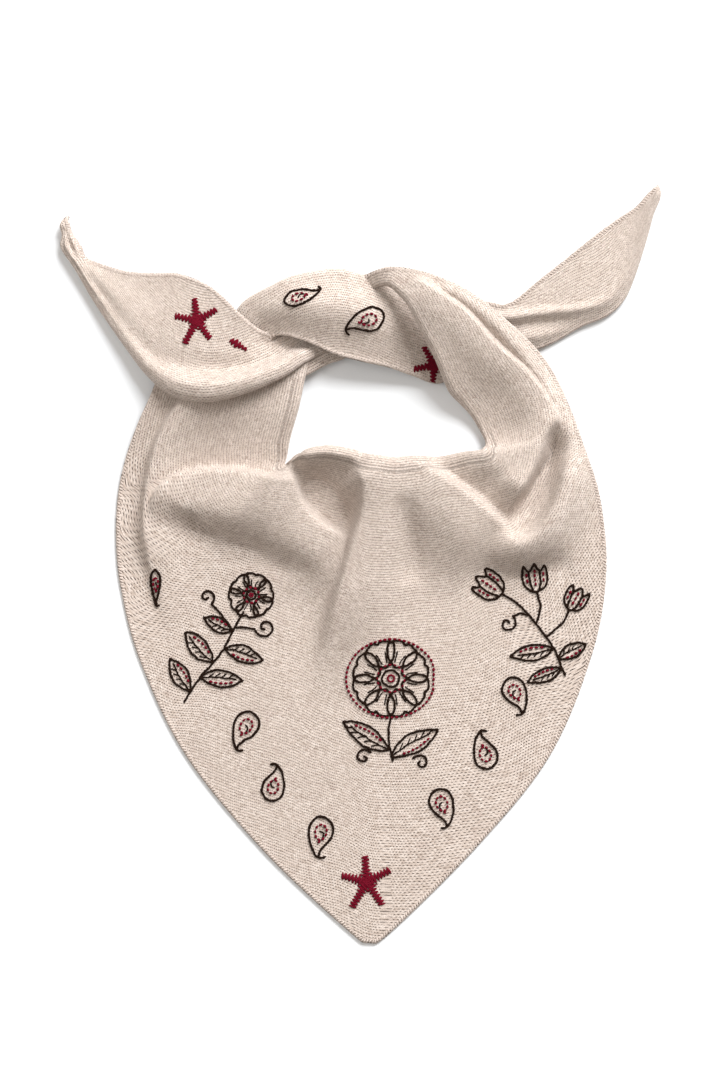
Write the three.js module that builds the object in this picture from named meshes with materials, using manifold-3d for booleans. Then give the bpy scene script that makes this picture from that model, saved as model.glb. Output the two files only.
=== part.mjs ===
// A triangular knitted neckerchief laid on a flat surface, tied at its top with one half-knot.
// Millimetres, +Z up, +Y from the bib's point towards the knot. The underside lies at z = 0.
import * as THREE from 'three';
import Module from 'manifold-3d';

const wasm = await Module();
wasm.setup();
const { Manifold, Mesh: SolidMesh } = wasm;

// Driving dimensions
const WALL = 2; // thickness of the knit
const LIFT = 40; // height of the knot above the surface
const NECK_WIDTH = 140; // opening that the neck goes through
const NECK_DEPTH = 77;
const BIB_WIDTH = 343; // widest part of the bib
const BIB_DROP = 369; // middle of the opening to the bib's point
const KNOT_RISE = 101.5; // middle of the opening to the top of the knot
const BAND_LENGTH = 126; // band that crosses over the knot
const LEFT_TAIL_REACH = 140; // knot to the left tip, across and up
const LEFT_TAIL_RISE = 85;
const RIGHT_TAIL_REACH = 104; // knot to the right tip, across and up
const RIGHT_TAIL_RISE = 100;
const ROLL = 6; // radius of the soft roll round the opening
const SLUMP = 60; // distance over which the cloth settles from the opening to the surface
const FOLD = 70; // width that a fold's two slopes are shares of
const TAIL_ROLL = 8.5; // radius of the roll along the left tail
const BAND_ROLL = 5; // radius of the roll along the top of the band
const TIP_ROLL = 2.4; // radius of the roll at both tips
const STAR_RADIUS = 18;
const STAR_WAIST = 0.42; // inner radius of a star as a share of its outer one
const STAR_THICKNESS = 0.9;
const STAR_GAP = 0.4; // clearance between a star and the knit
const SMALL_STAR = 0.85; // the left tail's star as a share of the bib's

// Where the tails and the band start, as shares of the opening's width, the bib's width or the knot's rise
const LEFT_TAIL_ROOT = [-0.615, 0.48];
const RIGHT_TAIL_ROOT = [0.255, 0.586];
const BAND_START = -0.2;

// Middles of the stars, in the plan shares of the bib and of the left tail
const BIB_STAR = [-0.041, -0.886];
const LEFT_TAIL_STAR = [0.325, 0.19];

// Rolls of narrow cloth: radius as a share of the section's width, and the least hollow inside one
const NARROW_ROLL = 0.16;
const LEAST_HOLLOW = 0.15;
// Narrowest side of a fold that the facets can follow
const LEAST_SPREAD = 9;

// The bib and both arms, in sections that fan out from the opening to the outer selvedge. inner is a
// share of the opening's width and depth, outer one of the bib's width and of its drop or the knot's
// rise. rise and edge are heights at the opening and at the selvedge, as shares of the lift, and curl
// is a share of the roll.
const BODY = [
  { inner: [-0.34, 0.68], outer: [-0.422, 0.448], rise: 0.175, edge: 0.1, curl: 0.5 },
  { inner: [-0.37, 0.54], outer: [-0.459, 0.283], rise: 0.225, edge: 0.125, curl: 0.5 },
  { inner: [-0.4, 0.32], outer: [-0.48, 0.117], rise: 0.275, edge: 0.15, curl: 0.5 },
  { inner: [-0.43, 0.06], outer: [-0.504, -0.017], rise: 0.25, edge: 0.125, curl: 0.5 },
  { inner: [-0.47, -0.19], outer: [-0.529, -0.082], rise: 0.125, edge: 0.05, curl: 0.5 },
  { inner: [-0.49, -0.38], outer: [-0.545, -0.152], rise: 0.025, edge: 0.013, curl: 0.5 },
  { inner: [-0.5, -0.45], outer: [-0.549, -0.237], rise: 0.05, edge: 0.013, curl: 0.5 },
  { inner: [-0.47, -0.44], outer: [-0.539, -0.332], rise: 0.15, edge: 0.0, curl: 0.67 },
  { inner: [-0.4, -0.32], outer: [-0.5, -0.467], rise: 0.275, edge: 0.0, curl: 1.0 },
  { inner: [-0.29, -0.28], outer: [-0.408, -0.645], rise: 0.3, edge: 0.0, curl: 1.0 },
  { inner: [-0.2, -0.3], outer: [-0.251, -0.825], rise: 0.325, edge: 0.0, curl: 1.0 },
  { inner: [-0.13, -0.33], outer: [-0.078, -0.977], rise: 0.3, edge: 0.0, curl: 1.0 },
  { inner: [-0.09, -0.35], outer: [-0.033, -1.002], rise: 0.3, edge: 0.0, curl: 1.0 },
  { inner: [-0.04, -0.37], outer: [0.014, -0.979], rise: 0.3, edge: 0.0, curl: 1.0 },
  { inner: [0.06, -0.41], outer: [0.194, -0.812], rise: 0.275, edge: 0.0, curl: 1.0 },
  { inner: [0.23, -0.39], outer: [0.337, -0.645], rise: 0.225, edge: 0.0, curl: 0.92 },
  { inner: [0.38, -0.36], outer: [0.422, -0.455], rise: 0.225, edge: 0.0, curl: 0.83 },
  { inner: [0.48, -0.35], outer: [0.451, -0.304], rise: 0.225, edge: 0.013, curl: 0.83 },
  { inner: [0.5, -0.26], outer: [0.441, -0.171], rise: 0.15, edge: 0.025, curl: 0.58 },
  { inner: [0.47, -0.14], outer: [0.412, -0.076], rise: 0.125, edge: 0.037, curl: 0.53 },
  { inner: [0.43, -0.02], outer: [0.382, 0.0], rise: 0.175, edge: 0.075, curl: 0.6 },
  { inner: [0.38, 0.08], outer: [0.341, 0.297], rise: 0.25, edge: 0.15, curl: 0.75 },
  { inner: [0.32, 0.19], outer: [0.296, 0.49], rise: 0.375, edge: 0.3, curl: 0.92 },
  { inner: [0.28, 0.34], outer: [0.247, 0.641], rise: 0.5, edge: 0.375, curl: 1.0 },
  { inner: [0.23, 0.55], outer: [0.202, 0.766], rise: 0.625, edge: 0.425, curl: 1.0 },
  { inner: [0.17, 0.75], outer: [0.153, 0.869], rise: 0.7, edge: 0.475, curl: 1.0 },
  { inner: [0.12, 0.93], outer: [0.1, 0.945], rise: 0.75, edge: 0.55, curl: 1.0 },
  { inner: [0.07, 1.06], outer: [0.047, 0.993], rise: 0.75, edge: 0.6, curl: 0.83 },
  { inner: [0.0, 1.15], outer: [-0.002, 1.0], rise: 0.65, edge: 0.55, curl: 0.67 },
  { inner: [-0.09, 1.05], outer: [-0.059, 0.924], rise: 0.325, edge: 0.275, curl: 0.5 },
  { inner: [-0.17, 0.57], outer: [-0.116, 0.793], rise: 0.2, edge: 0.225, curl: 0.37 },
  { inner: [-0.29, 0.45], outer: [-0.163, 0.655], rise: 0.175, edge: 0.225, curl: 0.37 },
  { inner: [-0.47, 0.29], outer: [-0.214, 0.531], rise: 0.175, edge: 0.225, curl: 0.37 },
  { inner: [-0.65, 0.24], outer: [-0.263, 0.448], rise: 0.15, edge: 0.2, curl: 0.37 },
];

// Folds of the bib and arms. A path is in shares of the bib's width and of its drop or the knot's rise,
// lift a share of the lift, and steep and gentle, the spread to the left and right of the way along the
// path, are shares of the fold width. crown says how broad-topped the gentle side is, with 2 for a plain
// bell. fadeIn and fadeOut are the shares of the path over which the fold rises and dies away.
const FOLDS = [
  {
    fold: 'outer_strip', path: [[-0.427, -0.427], [-0.463, -0.317], [-0.48, -0.247], [-0.482, -0.184],
      [-0.471, -0.102], [-0.447, -0.036], [-0.394, 0.131], [-0.333, 0.366]], lift: 0.225, steep: 0.06,
    gentle: 0.34, crown: 2, fadeIn: 0.35, fadeOut: 0.1,
  },
  {
    fold: 'puff', path: [[-0.465, -0.252], [-0.463, -0.203], [-0.453, -0.161], [-0.422, -0.133],
      [-0.363, -0.121], [-0.282, -0.127], [-0.202, -0.146]], lift: 0.4, steep: 0.07, gentle: 0.56,
    crown: 4, fadeIn: 0.4, fadeOut: 0.05,
  },
  {
    fold: 'pocket_lip', path: [[-0.214, -0.101], [-0.2, -0.137], [-0.186, -0.167], [-0.163, -0.199],
      [-0.131, -0.224], [-0.086, -0.239], [-0.031, -0.231]], lift: 0.325, steep: 0.08, gentle: 0.5,
    crown: 3, fadeIn: 0.15, fadeOut: 0.3,
  },
  {
    fold: 'rim_crest', path: [[-0.19, -0.093], [-0.165, -0.076], [-0.12, -0.066], [-0.067, -0.076],
      [-0.027, -0.101], [0.031, -0.097], [0.092, -0.085]], lift: 0.3, steep: 0.12, gentle: 0.15,
    crown: 2, fadeIn: 0.2, fadeOut: 0.45,
  },
  {
    fold: 'centre_ridge', path: [[-0.137, -0.541], [-0.116, -0.446], [-0.092, -0.361], [-0.063, -0.275],
      [-0.039, -0.19], [-0.035, -0.127], [-0.063, -0.082]], lift: 0.45, steep: 0.1, gentle: 0.46,
    crown: 2.5, fadeIn: 0.45, fadeOut: 0.15,
  },
  {
    fold: 'front_fold', path: [[-0.035, -0.044], [0.031, -0.089], [0.096, -0.121], [0.161, -0.161],
      [0.224, -0.211], [0.271, -0.25]], lift: 0.375, steep: 0.09, gentle: 0.6, crown: 3, fadeIn: 0.1,
    fadeOut: 0.3,
  },
  {
    fold: 'swag', path: [[0.165, -0.18], [0.222, -0.222], [0.267, -0.25], [0.312, -0.235],
      [0.349, -0.186], [0.373, -0.123], [0.384, -0.063], [0.376, -0.002]], lift: 0.45, steep: 0.11,
    gentle: 0.24, crown: 2, fadeIn: 0.35, fadeOut: 0.3,
  },
  {
    fold: 'right_rim', path: [[0.112, -0.085], [0.214, -0.08], [0.265, -0.072], [0.318, -0.055],
      [0.351, -0.028]], lift: 0.3, steep: 0.06, gentle: 0.26, crown: 2, fadeIn: 0.25, fadeOut: 0.0,
  },
  {
    fold: 'wall_edge', path: [[0.231, -0.197], [0.263, -0.156], [0.292, -0.112], [0.316, -0.066],
      [0.339, -0.025]], lift: 0.375, steep: 0.28, gentle: 0.08, crown: 2.4, fadeIn: 0.4, fadeOut: 0.0,
  },
  {
    fold: 'arm_ridge', path: [[0.047, 0.917], [0.104, 0.793], [0.155, 0.676], [0.218, 0.448],
      [0.284, 0.255], [0.329, 0.048], [0.351, -0.028]], lift: 0.3, steep: 0.07, gentle: 0.34, crown: 2,
    fadeIn: 0.1, fadeOut: 0.0,
  },
  {
    fold: 'outer_band', path: [[0.096, 0.903], [0.173, 0.752], [0.245, 0.538], [0.31, 0.255],
      [0.361, -0.006], [0.394, -0.089], [0.41, -0.146]], lift: 0.2, steep: 0.12, gentle: 0.12, crown: 2,
    fadeIn: 0.1, fadeOut: 0.2,
  },
  {
    fold: 'groove', path: [[0.359, -0.009], [0.349, -0.049], [0.331, -0.093], [0.308, -0.137],
      [0.282, -0.175], [0.255, -0.207]], lift: -0.3, steep: 0.07, gentle: 0.07, crown: 2, fadeIn: 0.3,
    fadeOut: 0.3,
  },
  {
    fold: 'pocket', path: [[-0.137, -0.142], [-0.096, -0.173]], lift: -0.35, steep: 0.2, gentle: 0.2,
    crown: 2, fadeIn: 0.0, fadeOut: 0.0,
  },
  {
    fold: 'left_valley', path: [[-0.431, -0.171], [-0.378, -0.213], [-0.3, -0.25], [-0.206, -0.283],
      [-0.129, -0.309]], lift: -0.125, steep: 0.13, gentle: 0.13, crown: 2, fadeIn: 0.25, fadeOut: 0.25,
  },
  {
    fold: 'centre_valley', path: [[0.039, -0.142], [0.047, -0.332]], lift: -0.075, steep: 0.12,
    gentle: 0.12, crown: 2, fadeIn: 0.3, fadeOut: 0.3,
  },
  {
    fold: 'under_swag', path: [[0.157, -0.302], [0.265, -0.313], [0.382, -0.268]], lift: -0.125,
    steep: 0.17, gentle: 0.17, crown: 2, fadeIn: 0.3, fadeOut: 0.3,
  },
];

// The left tail, from under the band to its tip, in shares of its reach and rise from the knot. Each
// pair says how far out from the rolled side a form lies, and its height as a share of the lift.
const LEFT_TAIL = [
  {
    inner: [-0.425, -0.008], outer: [-0.3, 0.273], foot: 0.175, roll: [0.26, 0.225], valley: [0.5,
      0.175], ridge: [0.75, 0.175], edge: 0.175,
  },
  {
    inner: [-0.32, -0.066], outer: [-0.19, 0.19], foot: 0.25, roll: [0.24, 0.3], valley: [0.55, 0.2],
    ridge: [0.78, 0.175], edge: 0.175,
  },
  {
    inner: [-0.22, -0.149], outer: [-0.09, 0.107], foot: 0.375, roll: [0.22, 0.45], valley: [0.56,
      0.225], ridge: [0.8, 0.2], edge: 0.2,
  },
  {
    inner: [-0.11, -0.273], outer: [0.0, 0.116], foot: 0.5, roll: [0.2, 0.625], valley: [0.5, 0.3],
    ridge: [0.76, 0.225], edge: 0.3,
  },
  {
    inner: [0.07, -0.405], outer: [0.11, 0.256], foot: 0.6, roll: [0.16, 0.75], valley: [0.37, 0.375],
    ridge: [0.52, 0.4], edge: 0.45,
  },
  {
    inner: [0.265, -0.479], outer: [0.255, 0.471], foot: 0.6, roll: [0.13, 0.75], valley: [0.31, 0.4],
    ridge: [0.46, 0.45], edge: 0.4,
  },
  {
    inner: [0.44, -0.43], outer: [0.41, 0.579], foot: 0.475, roll: [0.12, 0.6], valley: [0.28, 0.375],
    ridge: [0.43, 0.4], edge: 0.3,
  },
  {
    inner: [0.57, -0.264], outer: [0.535, 0.587], foot: 0.325, roll: [0.12, 0.425], valley: [0.25, 0.3],
    ridge: [0.4, 0.325], edge: 0.225,
  },
  {
    inner: [0.69, -0.008], outer: [0.67, 0.603], foot: 0.225, roll: [0.15, 0.3], valley: [0.3, 0.275],
    ridge: [0.5, 0.3], edge: 0.2,
  },
  {
    inner: [0.835, 0.339], outer: [0.795, 0.661], foot: 0.15, roll: [0.25, 0.25], valley: [0.4, 0.225],
    ridge: [0.6, 0.25], edge: 0.175,
  },
  {
    inner: [0.935, 0.62], outer: [0.875, 0.719], foot: 0.1, roll: [0.3, 0.25], valley: [0.45, 0.25],
    ridge: [0.6, 0.225], edge: 0.15,
  },
  {
    inner: [1.005, 0.793], outer: [0.9, 0.81], foot: 0.1, roll: [0.3, 0.25], valley: [0.5, 0.175],
    ridge: [0.7, 0.225], edge: 0.125,
  },
  {
    inner: [1.0, 0.901], outer: [0.945, 0.917], foot: 0.1, roll: [0.3, 0.2], valley: [0.5, 0.2],
    ridge: [0.7, 0.2], edge: 0.1,
  },
  {
    inner: [1.01, 0.983], outer: [0.96, 1.0], foot: 0.1, roll: [0.3, 0.225], valley: [0.5, 0.225],
    ridge: [0.7, 0.225], edge: 0.1,
  },
  {
    inner: [0.995, 1.033], outer: [0.975, 1.041], foot: 0.1, roll: [0.3, 0.175], valley: [0.5, 0.175],
    ridge: [0.7, 0.175], edge: 0.1,
  },
];

// The band over the knot, in shares of its length and of the knot's rise, from its folded top to its hem.
const BAND = [
  { inner: [-0.65, 0.6], outer: [-0.461, 0.393], top: 0.125, crest: [0.5, 0.175], hem: 0.125 },
  { inner: [-0.572, 0.772], outer: [-0.406, 0.517], top: 0.175, crest: [0.5, 0.25], hem: 0.25 },
  { inner: [-0.428, 0.876], outer: [-0.339, 0.538], top: 0.325, crest: [0.5, 0.475], hem: 0.375 },
  { inner: [-0.289, 0.952], outer: [-0.206, 0.49], top: 0.425, crest: [0.45, 0.65], hem: 0.45 },
  { inner: [-0.072, 1.0], outer: [-0.056, 0.407], top: 0.475, crest: [0.45, 0.725], hem: 0.475 },
  { inner: [0.083, 0.972], outer: [0.094, 0.359], top: 0.475, crest: [0.45, 0.7], hem: 0.425 },
  { inner: [0.228, 0.91], outer: [0.25, 0.317], top: 0.375, crest: [0.5, 0.525], hem: 0.35 },
  { inner: [0.361, 0.848], outer: [0.383, 0.262], top: 0.225, crest: [0.55, 0.35], hem: 0.225 },
  { inner: [0.539, 0.779], outer: [0.528, 0.214], top: 0.175, crest: [0.5, 0.225], hem: 0.125 },
  { inner: [0.694, 0.766], outer: [0.683, 0.338], top: 0.2, crest: [0.5, 0.225], hem: 0.125 },
  { inner: [0.861, 0.752], outer: [0.861, 0.434], top: 0.2, crest: [0.5, 0.25], hem: 0.125 },
];

// The right tail, from under the right arm to its tip, in shares of its reach and rise.
const RIGHT_TAIL = [
  {
    inner: [-0.324, -0.154], outer: [-0.392, 0.182], foot: 0.1, lobe: [0.25, 0.225], crease: [0.45,
      0.175], roll: [0.65, 0.275], hollow: [0.8, 0.2], edge: 0.2,
  },
  {
    inner: [-0.122, -0.161], outer: [-0.176, 0.196], foot: 0.1, lobe: [0.28, 0.225], crease: [0.48,
      0.175], roll: [0.68, 0.275], hollow: [0.85, 0.2], edge: 0.2,
  },
  {
    inner: [0.122, -0.154], outer: [-0.014, 0.182], foot: 0.1, lobe: [0.3, 0.225], crease: [0.52,
      0.175], roll: [0.72, 0.3], hollow: [0.9, 0.212], edge: 0.212,
  },
  {
    inner: [0.284, -0.098], outer: [0.189, 0.343], foot: 0.1, lobe: [0.17, 0.2], crease: [0.33, 0.175],
    roll: [0.49, 0.312], hollow: [0.62, 0.225], edge: 0.225,
  },
  {
    inner: [0.473, 0.014], outer: [0.392, 0.51], foot: 0.1, lobe: [0.06, 0.15], crease: [0.12, 0.2],
    roll: [0.26, 0.325], hollow: [0.36, 0.25], edge: 0.225,
  },
  {
    inner: [0.649, 0.091], outer: [0.568, 0.657], foot: 0.1, lobe: [0.05, 0.15], crease: [0.09, 0.2],
    roll: [0.18, 0.287], hollow: [0.32, 0.25], edge: 0.225,
  },
  {
    inner: [0.77, 0.21], outer: [0.716, 0.769], foot: 0.1, lobe: [0.06, 0.15], crease: [0.12, 0.2],
    roll: [0.24, 0.25], hollow: [0.4, 0.225], edge: 0.2,
  },
  {
    inner: [0.851, 0.406], outer: [0.838, 0.853], foot: 0.1, lobe: [0.08, 0.15], crease: [0.16, 0.2],
    roll: [0.3, 0.225], hollow: [0.5, 0.212], edge: 0.175,
  },
  {
    inner: [0.926, 0.657], outer: [0.912, 0.937], foot: 0.1, lobe: [0.1, 0.15], crease: [0.2, 0.175],
    roll: [0.35, 0.212], hollow: [0.55, 0.2], edge: 0.15,
  },
  {
    inner: [0.966, 0.811], outer: [0.946, 0.972], foot: 0.1, lobe: [0.1, 0.15], crease: [0.2, 0.175],
    roll: [0.4, 0.2], hollow: [0.6, 0.2], edge: 0.125,
  },
  {
    inner: [1.007, 0.909], outer: [0.966, 0.993], foot: 0.1, lobe: [0.1, 0.15], crease: [0.2, 0.175],
    roll: [0.4, 0.225], hollow: [0.6, 0.225], edge: 0.125,
  },
  {
    inner: [1.014, 0.972], outer: [0.986, 1.0], foot: 0.1, lobe: [0.1, 0.125], crease: [0.2, 0.15],
    roll: [0.4, 0.175], hollow: [0.6, 0.175], edge: 0.1,
  },
];

// Plan frames, all measured from the middle of the opening
const opening = ([across, along]) => [across * NECK_WIDTH, along * NECK_DEPTH];
const outside = ([across, along]) => [across * BIB_WIDTH, along * (along < 0 ? BIB_DROP : KNOT_RISE)];
const leftTail = ([across, along]) => [
  LEFT_TAIL_ROOT[0] * NECK_WIDTH - across * LEFT_TAIL_REACH,
  LEFT_TAIL_ROOT[1] * KNOT_RISE + along * LEFT_TAIL_RISE,
];
const overKnot = ([across, along]) => [
  BAND_START * NECK_WIDTH + across * BAND_LENGTH,
  along * KNOT_RISE,
];
const rightTail = ([across, along]) => [
  RIGHT_TAIL_ROOT[0] * BIB_WIDTH + across * RIGHT_TAIL_REACH,
  RIGHT_TAIL_ROOT[1] * KNOT_RISE + along * RIGHT_TAIL_RISE,
];

// Smooth curve through the rows of a table, read at any station between them
function between(rows, station) {
  const last = rows.length - 1;
  const start = Math.min(Math.floor(station), last - 1);
  const t = station - start;
  const row = (k) => rows[Math.max(0, Math.min(last, k))];
  return rows[0].map((_, c) => {
    const [a, b, d, e] = [-1, 0, 1, 2].map((k) => row(start + k)[c]);
    return b + 0.5 * t * (d - a + t * (2 * a - 5 * b + 4 * d - e + t * (3 * (b - d) + e - a)));
  });
}

const ease = (t) => {
  const u = Math.max(0, Math.min(1, t));
  return u * u * (3 - 2 * u);
};

// Height across a section, through its marked forms
function acrossForms(forms, share) {
  let k = 0;
  while (k < forms.length - 2 && share > forms[k + 1][0]) k += 1;
  const [from, to] = [forms[k], forms[k + 1]];
  return from[1] + (to[1] - from[1]) * ease((share - from[0]) / (to[0] - from[0]));
}

const faded = (along, share) => (share > 0 ? ease(along / share) : 1);

const FOLD_STEPS = 24;
const MERGE = 5; // how sharply folds that meet turn into one crest
const BELL = 2; // crown of a plain bell
const foldPaths = FOLDS.map((fold) => {
  const points = fold.path.map(outside);
  const line = [];
  for (let k = 0; k <= FOLD_STEPS; k += 1) {
    line.push(between(points, (k / FOLD_STEPS) * (points.length - 1)));
  }
  return { ...fold, line };
});

// Where a line passes nearest to a place: how far off, how far along, and from -1 on its right to 1 on
// its left
function nearestOn(line, x, y) {
  let found = { distance: Infinity, along: 0, side: 0 };
  for (let k = 0; k < FOLD_STEPS; k += 1) {
    const [ax, ay] = line[k];
    const [bx, by] = line[k + 1];
    const [dx, dy] = [bx - ax, by - ay];
    const length = Math.hypot(dx, dy);
    const t = Math.max(0, Math.min(1, ((x - ax) * dx + (y - ay) * dy) / length ** 2));
    const [px, py] = [x - ax - t * dx, y - ay - t * dy];
    const distance = Math.hypot(px, py);
    if (distance < found.distance) {
      const side = distance > 0 ? (dx * py - dy * px) / (length * distance) : 0;
      found = { distance, along: (k + t) / FOLD_STEPS, side };
    }
  }
  return found;
}

// Height that one fold gives at a place on the bib or arms
function foldHeight(fold, x, y) {
  const { distance, along, side } = nearestOn(fold.line, x, y);
  const toSteep = (1 + side) / 2;
  const spread = Math.max(LEAST_SPREAD, (fold.gentle + (fold.steep - fold.gentle) * toSteep) * FOLD);
  const crown = fold.crown + (BELL - fold.crown) * toSteep;
  const fade = faded(along, fold.fadeIn) * faded(1 - along, fold.fadeOut);
  return fold.lift * LIFT * fade * Math.exp(-((distance / spread) ** crown));
}

// Raised folds that meet merge into one crest, and hollows are taken off
function bodyHeight(x, y, distance, [rise, edge]) {
  const base = (edge + (rise - edge) * Math.exp(-((distance / SLUMP) ** 2))) * LIFT;
  let raised = 0;
  let hollow = 0;
  for (const fold of foldPaths) {
    const height = foldHeight(fold, x, y);
    if (fold.lift > 0) raised += height ** MERGE;
    else hollow += height;
  }
  return WALL + Math.max(0, base + raised ** (1 / MERGE) + hollow);
}

// Columns of a layer: a short tucked part below, the roll, and then the face out to the far side
const TUCK_COLUMNS = 1;
const ROLL_COLUMNS = 4;

// One layer of cloth as a closed solid. rows hold inner x and y, outer x and y, the roll's radius and
// then what height needs; height gives the face's height at a place.
function layer({ rows, height, step, columns, crowd }) {
  const stations = [0];
  for (let k = 1; k < rows.length; k += 1) {
    const length = Math.hypot(rows[k][0] - rows[k - 1][0], rows[k][1] - rows[k - 1][1])
      + Math.hypot(rows[k][2] - rows[k - 1][2], rows[k][3] - rows[k - 1][3]);
    const pieces = Math.max(1, Math.round(length / 2 / step));
    for (let i = 1; i <= pieces; i += 1) stations.push(k - 1 + i / pieces);
  }
  const face = [];
  const back = [];
  for (const station of stations) {
    const [ix, iy, ox, oy, curl, ...forms] = between(rows, station);
    const width = Math.hypot(ox - ix, oy - iy);
    const [ux, uy] = [(ox - ix) / width, (oy - iy) / width];
    const at = (d, z) => [ix + ux * d, iy + uy * d, z];
    const faceHeight = (d) => height(ix + ux * d, iy + uy * d, d, forms, width);
    const crown = faceHeight(curl);
    const radius = Math.min(curl, crown / 2);
    const inside = Math.max(radius - WALL, LEAST_HOLLOW * radius);
    const [faceRow, backRow] = [[], []];
    for (let j = TUCK_COLUMNS; j > 0; j -= 1) {
      faceRow.push(at(radius + (j * radius) / TUCK_COLUMNS, crown - 2 * radius));
      backRow.push(at(radius + (j * radius) / TUCK_COLUMNS, crown - radius - inside));
    }
    for (let j = 0; j < ROLL_COLUMNS; j += 1) {
      const angle = Math.PI * (j / ROLL_COLUMNS - 0.5);
      faceRow.push(at(radius - radius * Math.cos(angle), crown - radius + radius * Math.sin(angle)));
      backRow.push(at(radius - inside * Math.cos(angle), crown - radius + inside * Math.sin(angle)));
    }
    for (let j = 0; j <= columns; j += 1) {
      const d = radius + (width - radius) * (j / columns) ** crowd;
      faceRow.push(at(d, faceHeight(d)));
      backRow.push(null);
    }
    face.push(faceRow);
    back.push(backRow);
  }
  thicken(face, back);
  return { face, back };
}

const MOST_DEEPENING = 2.2;

// The back of the face, straight below it, further down on slopes so that the wall keeps its thickness
function thicken(face, back) {
  const [rows, columns] = [face.length, face[0].length];
  const first = TUCK_COLUMNS + ROLL_COLUMNS;
  const vector = (a, b) => new THREE.Vector3(b[0] - a[0], b[1] - a[1], b[2] - a[2]);
  for (let i = 0; i < rows; i += 1) {
    for (let j = first; j < columns; j += 1) {
      const along = vector(face[Math.max(0, i - 1)][j], face[Math.min(rows - 1, i + 1)][j]);
      const across = vector(face[i][Math.max(first, j - 1)], face[i][Math.min(columns - 1, j + 1)]);
      const upright = Math.abs(along.cross(across).normalize().z);
      const deep = j === first ? 1 : Math.min(MOST_DEEPENING, 1 / (upright + Number.EPSILON));
      const [x, y, z] = face[i][j];
      back[i][j] = [x, y, Math.max(0, z - WALL * deep)];
    }
  }
}

// A closed solid from the face and the back of a layer
function solidOf({ face, back }) {
  const [rows, columns] = [face.length, face[0].length];
  const points = [...face.flat(), ...back.flat()];
  const number = (side, i, j) => (side * rows + i) * columns + j;
  const triangles = [];
  const quad = (a, b, c, d) => triangles.push([a, b, c], [a, c, d]);
  for (let i = 0; i < rows - 1; i += 1) {
    for (let j = 0; j < columns - 1; j += 1) {
      quad(number(0, i, j), number(0, i, j + 1), number(0, i + 1, j + 1), number(0, i + 1, j));
      quad(number(1, i, j), number(1, i + 1, j), number(1, i + 1, j + 1), number(1, i, j + 1));
    }
    quad(number(0, i, 0), number(0, i + 1, 0), number(1, i + 1, 0), number(1, i, 0));
    const end = columns - 1;
    quad(number(0, i + 1, end), number(0, i, end), number(1, i, end), number(1, i + 1, end));
  }
  for (let j = 0; j < columns - 1; j += 1) {
    const end = rows - 1;
    quad(number(0, 0, j + 1), number(0, 0, j), number(1, 0, j), number(1, 0, j + 1));
    quad(number(0, end, j), number(0, end, j + 1), number(1, end, j + 1), number(1, end, j));
  }
  return manifold(points, triangles);
}

function manifold(points, triangles) {
  const make = (list) => new Manifold(new SolidMesh({
    numProp: 3,
    vertProperties: new Float32Array(points.flat()),
    triVerts: new Uint32Array(list.flat()),
  }));
  const solid = make(triangles);
  return solid.volume() > 0 ? solid : make(triangles.map(([a, b, c]) => [a, c, b]));
}

function meshOf(name, solid, material) {
  const { vertProperties, triVerts } = solid.getMesh();
  const geometry = new THREE.BufferGeometry();
  geometry.setAttribute('position', new THREE.BufferAttribute(new Float32Array(vertProperties), 3));
  geometry.setIndex(new THREE.BufferAttribute(new Uint32Array(triVerts), 1));
  geometry.computeVertexNormals();
  const mesh = new THREE.Mesh(geometry, material);
  mesh.name = name;
  return mesh;
}

const bodyLayer = layer({
  rows: BODY.map((row) => [
    ...opening(row.inner), ...outside(row.outer), row.curl * ROLL, row.rise, row.edge,
  ]),
  height: bodyHeight,
  step: 16,
  columns: 17,
  crowd: 1.5,
});

function ribbon(table, frame, forms, curl, size) {
  const rows = table.map((row) => [
    ...frame(row.inner),
    ...frame(row.outer),
    curl(row),
    ...forms(row).flat(),
  ]);
  const height = (x, y, distance, values, width) => {
    const pairs = [];
    for (let k = 0; k < values.length; k += 2) pairs.push([values[k], values[k + 1] * LIFT]);
    return acrossForms(pairs, distance / width);
  };
  return layer({ rows, height, ...size });
}

const narrowing = (row, frame, most) => {
  const [[ix, iy], [ox, oy]] = [frame(row.inner), frame(row.outer)];
  return Math.min(most, Math.max(TIP_ROLL, NARROW_ROLL * Math.hypot(ox - ix, oy - iy)));
};

const leftTailLayer = ribbon(
  LEFT_TAIL,
  leftTail,
  (row) => [[0, row.foot], row.roll, row.valley, row.ridge, [1, row.edge]],
  (row) => narrowing(row, leftTail, TAIL_ROLL),
  { step: 8, columns: 11, crowd: 1 },
);

const bandLayer = ribbon(
  BAND,
  overKnot,
  (row) => [[0, row.top], row.crest, [1, row.hem]],
  (row) => narrowing(row, overKnot, BAND_ROLL),
  { step: 11, columns: 8, crowd: 1 },
);

const rightTailLayer = ribbon(
  RIGHT_TAIL,
  rightTail,
  (row) => [[0, row.foot], row.lobe, row.crease, row.roll, row.hollow, [1, row.edge]],
  () => TIP_ROLL,
  { step: 10, columns: 10, crowd: 1 },
);

// The sheet as one body, without the small voids that the knot's layers close off between them
function oneBody(solids) {
  const parts = Manifold.union(solids).decompose();
  return parts.sort((a, b) => b.volume() - a.volume())[0];
}

const knit = new THREE.MeshStandardMaterial({ color: 0xd6c8bc, roughness: 0.95, metalness: 0 });
const crimson = new THREE.MeshStandardMaterial({ color: 0x7a0a28, roughness: 0.7, metalness: 0 });

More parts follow.
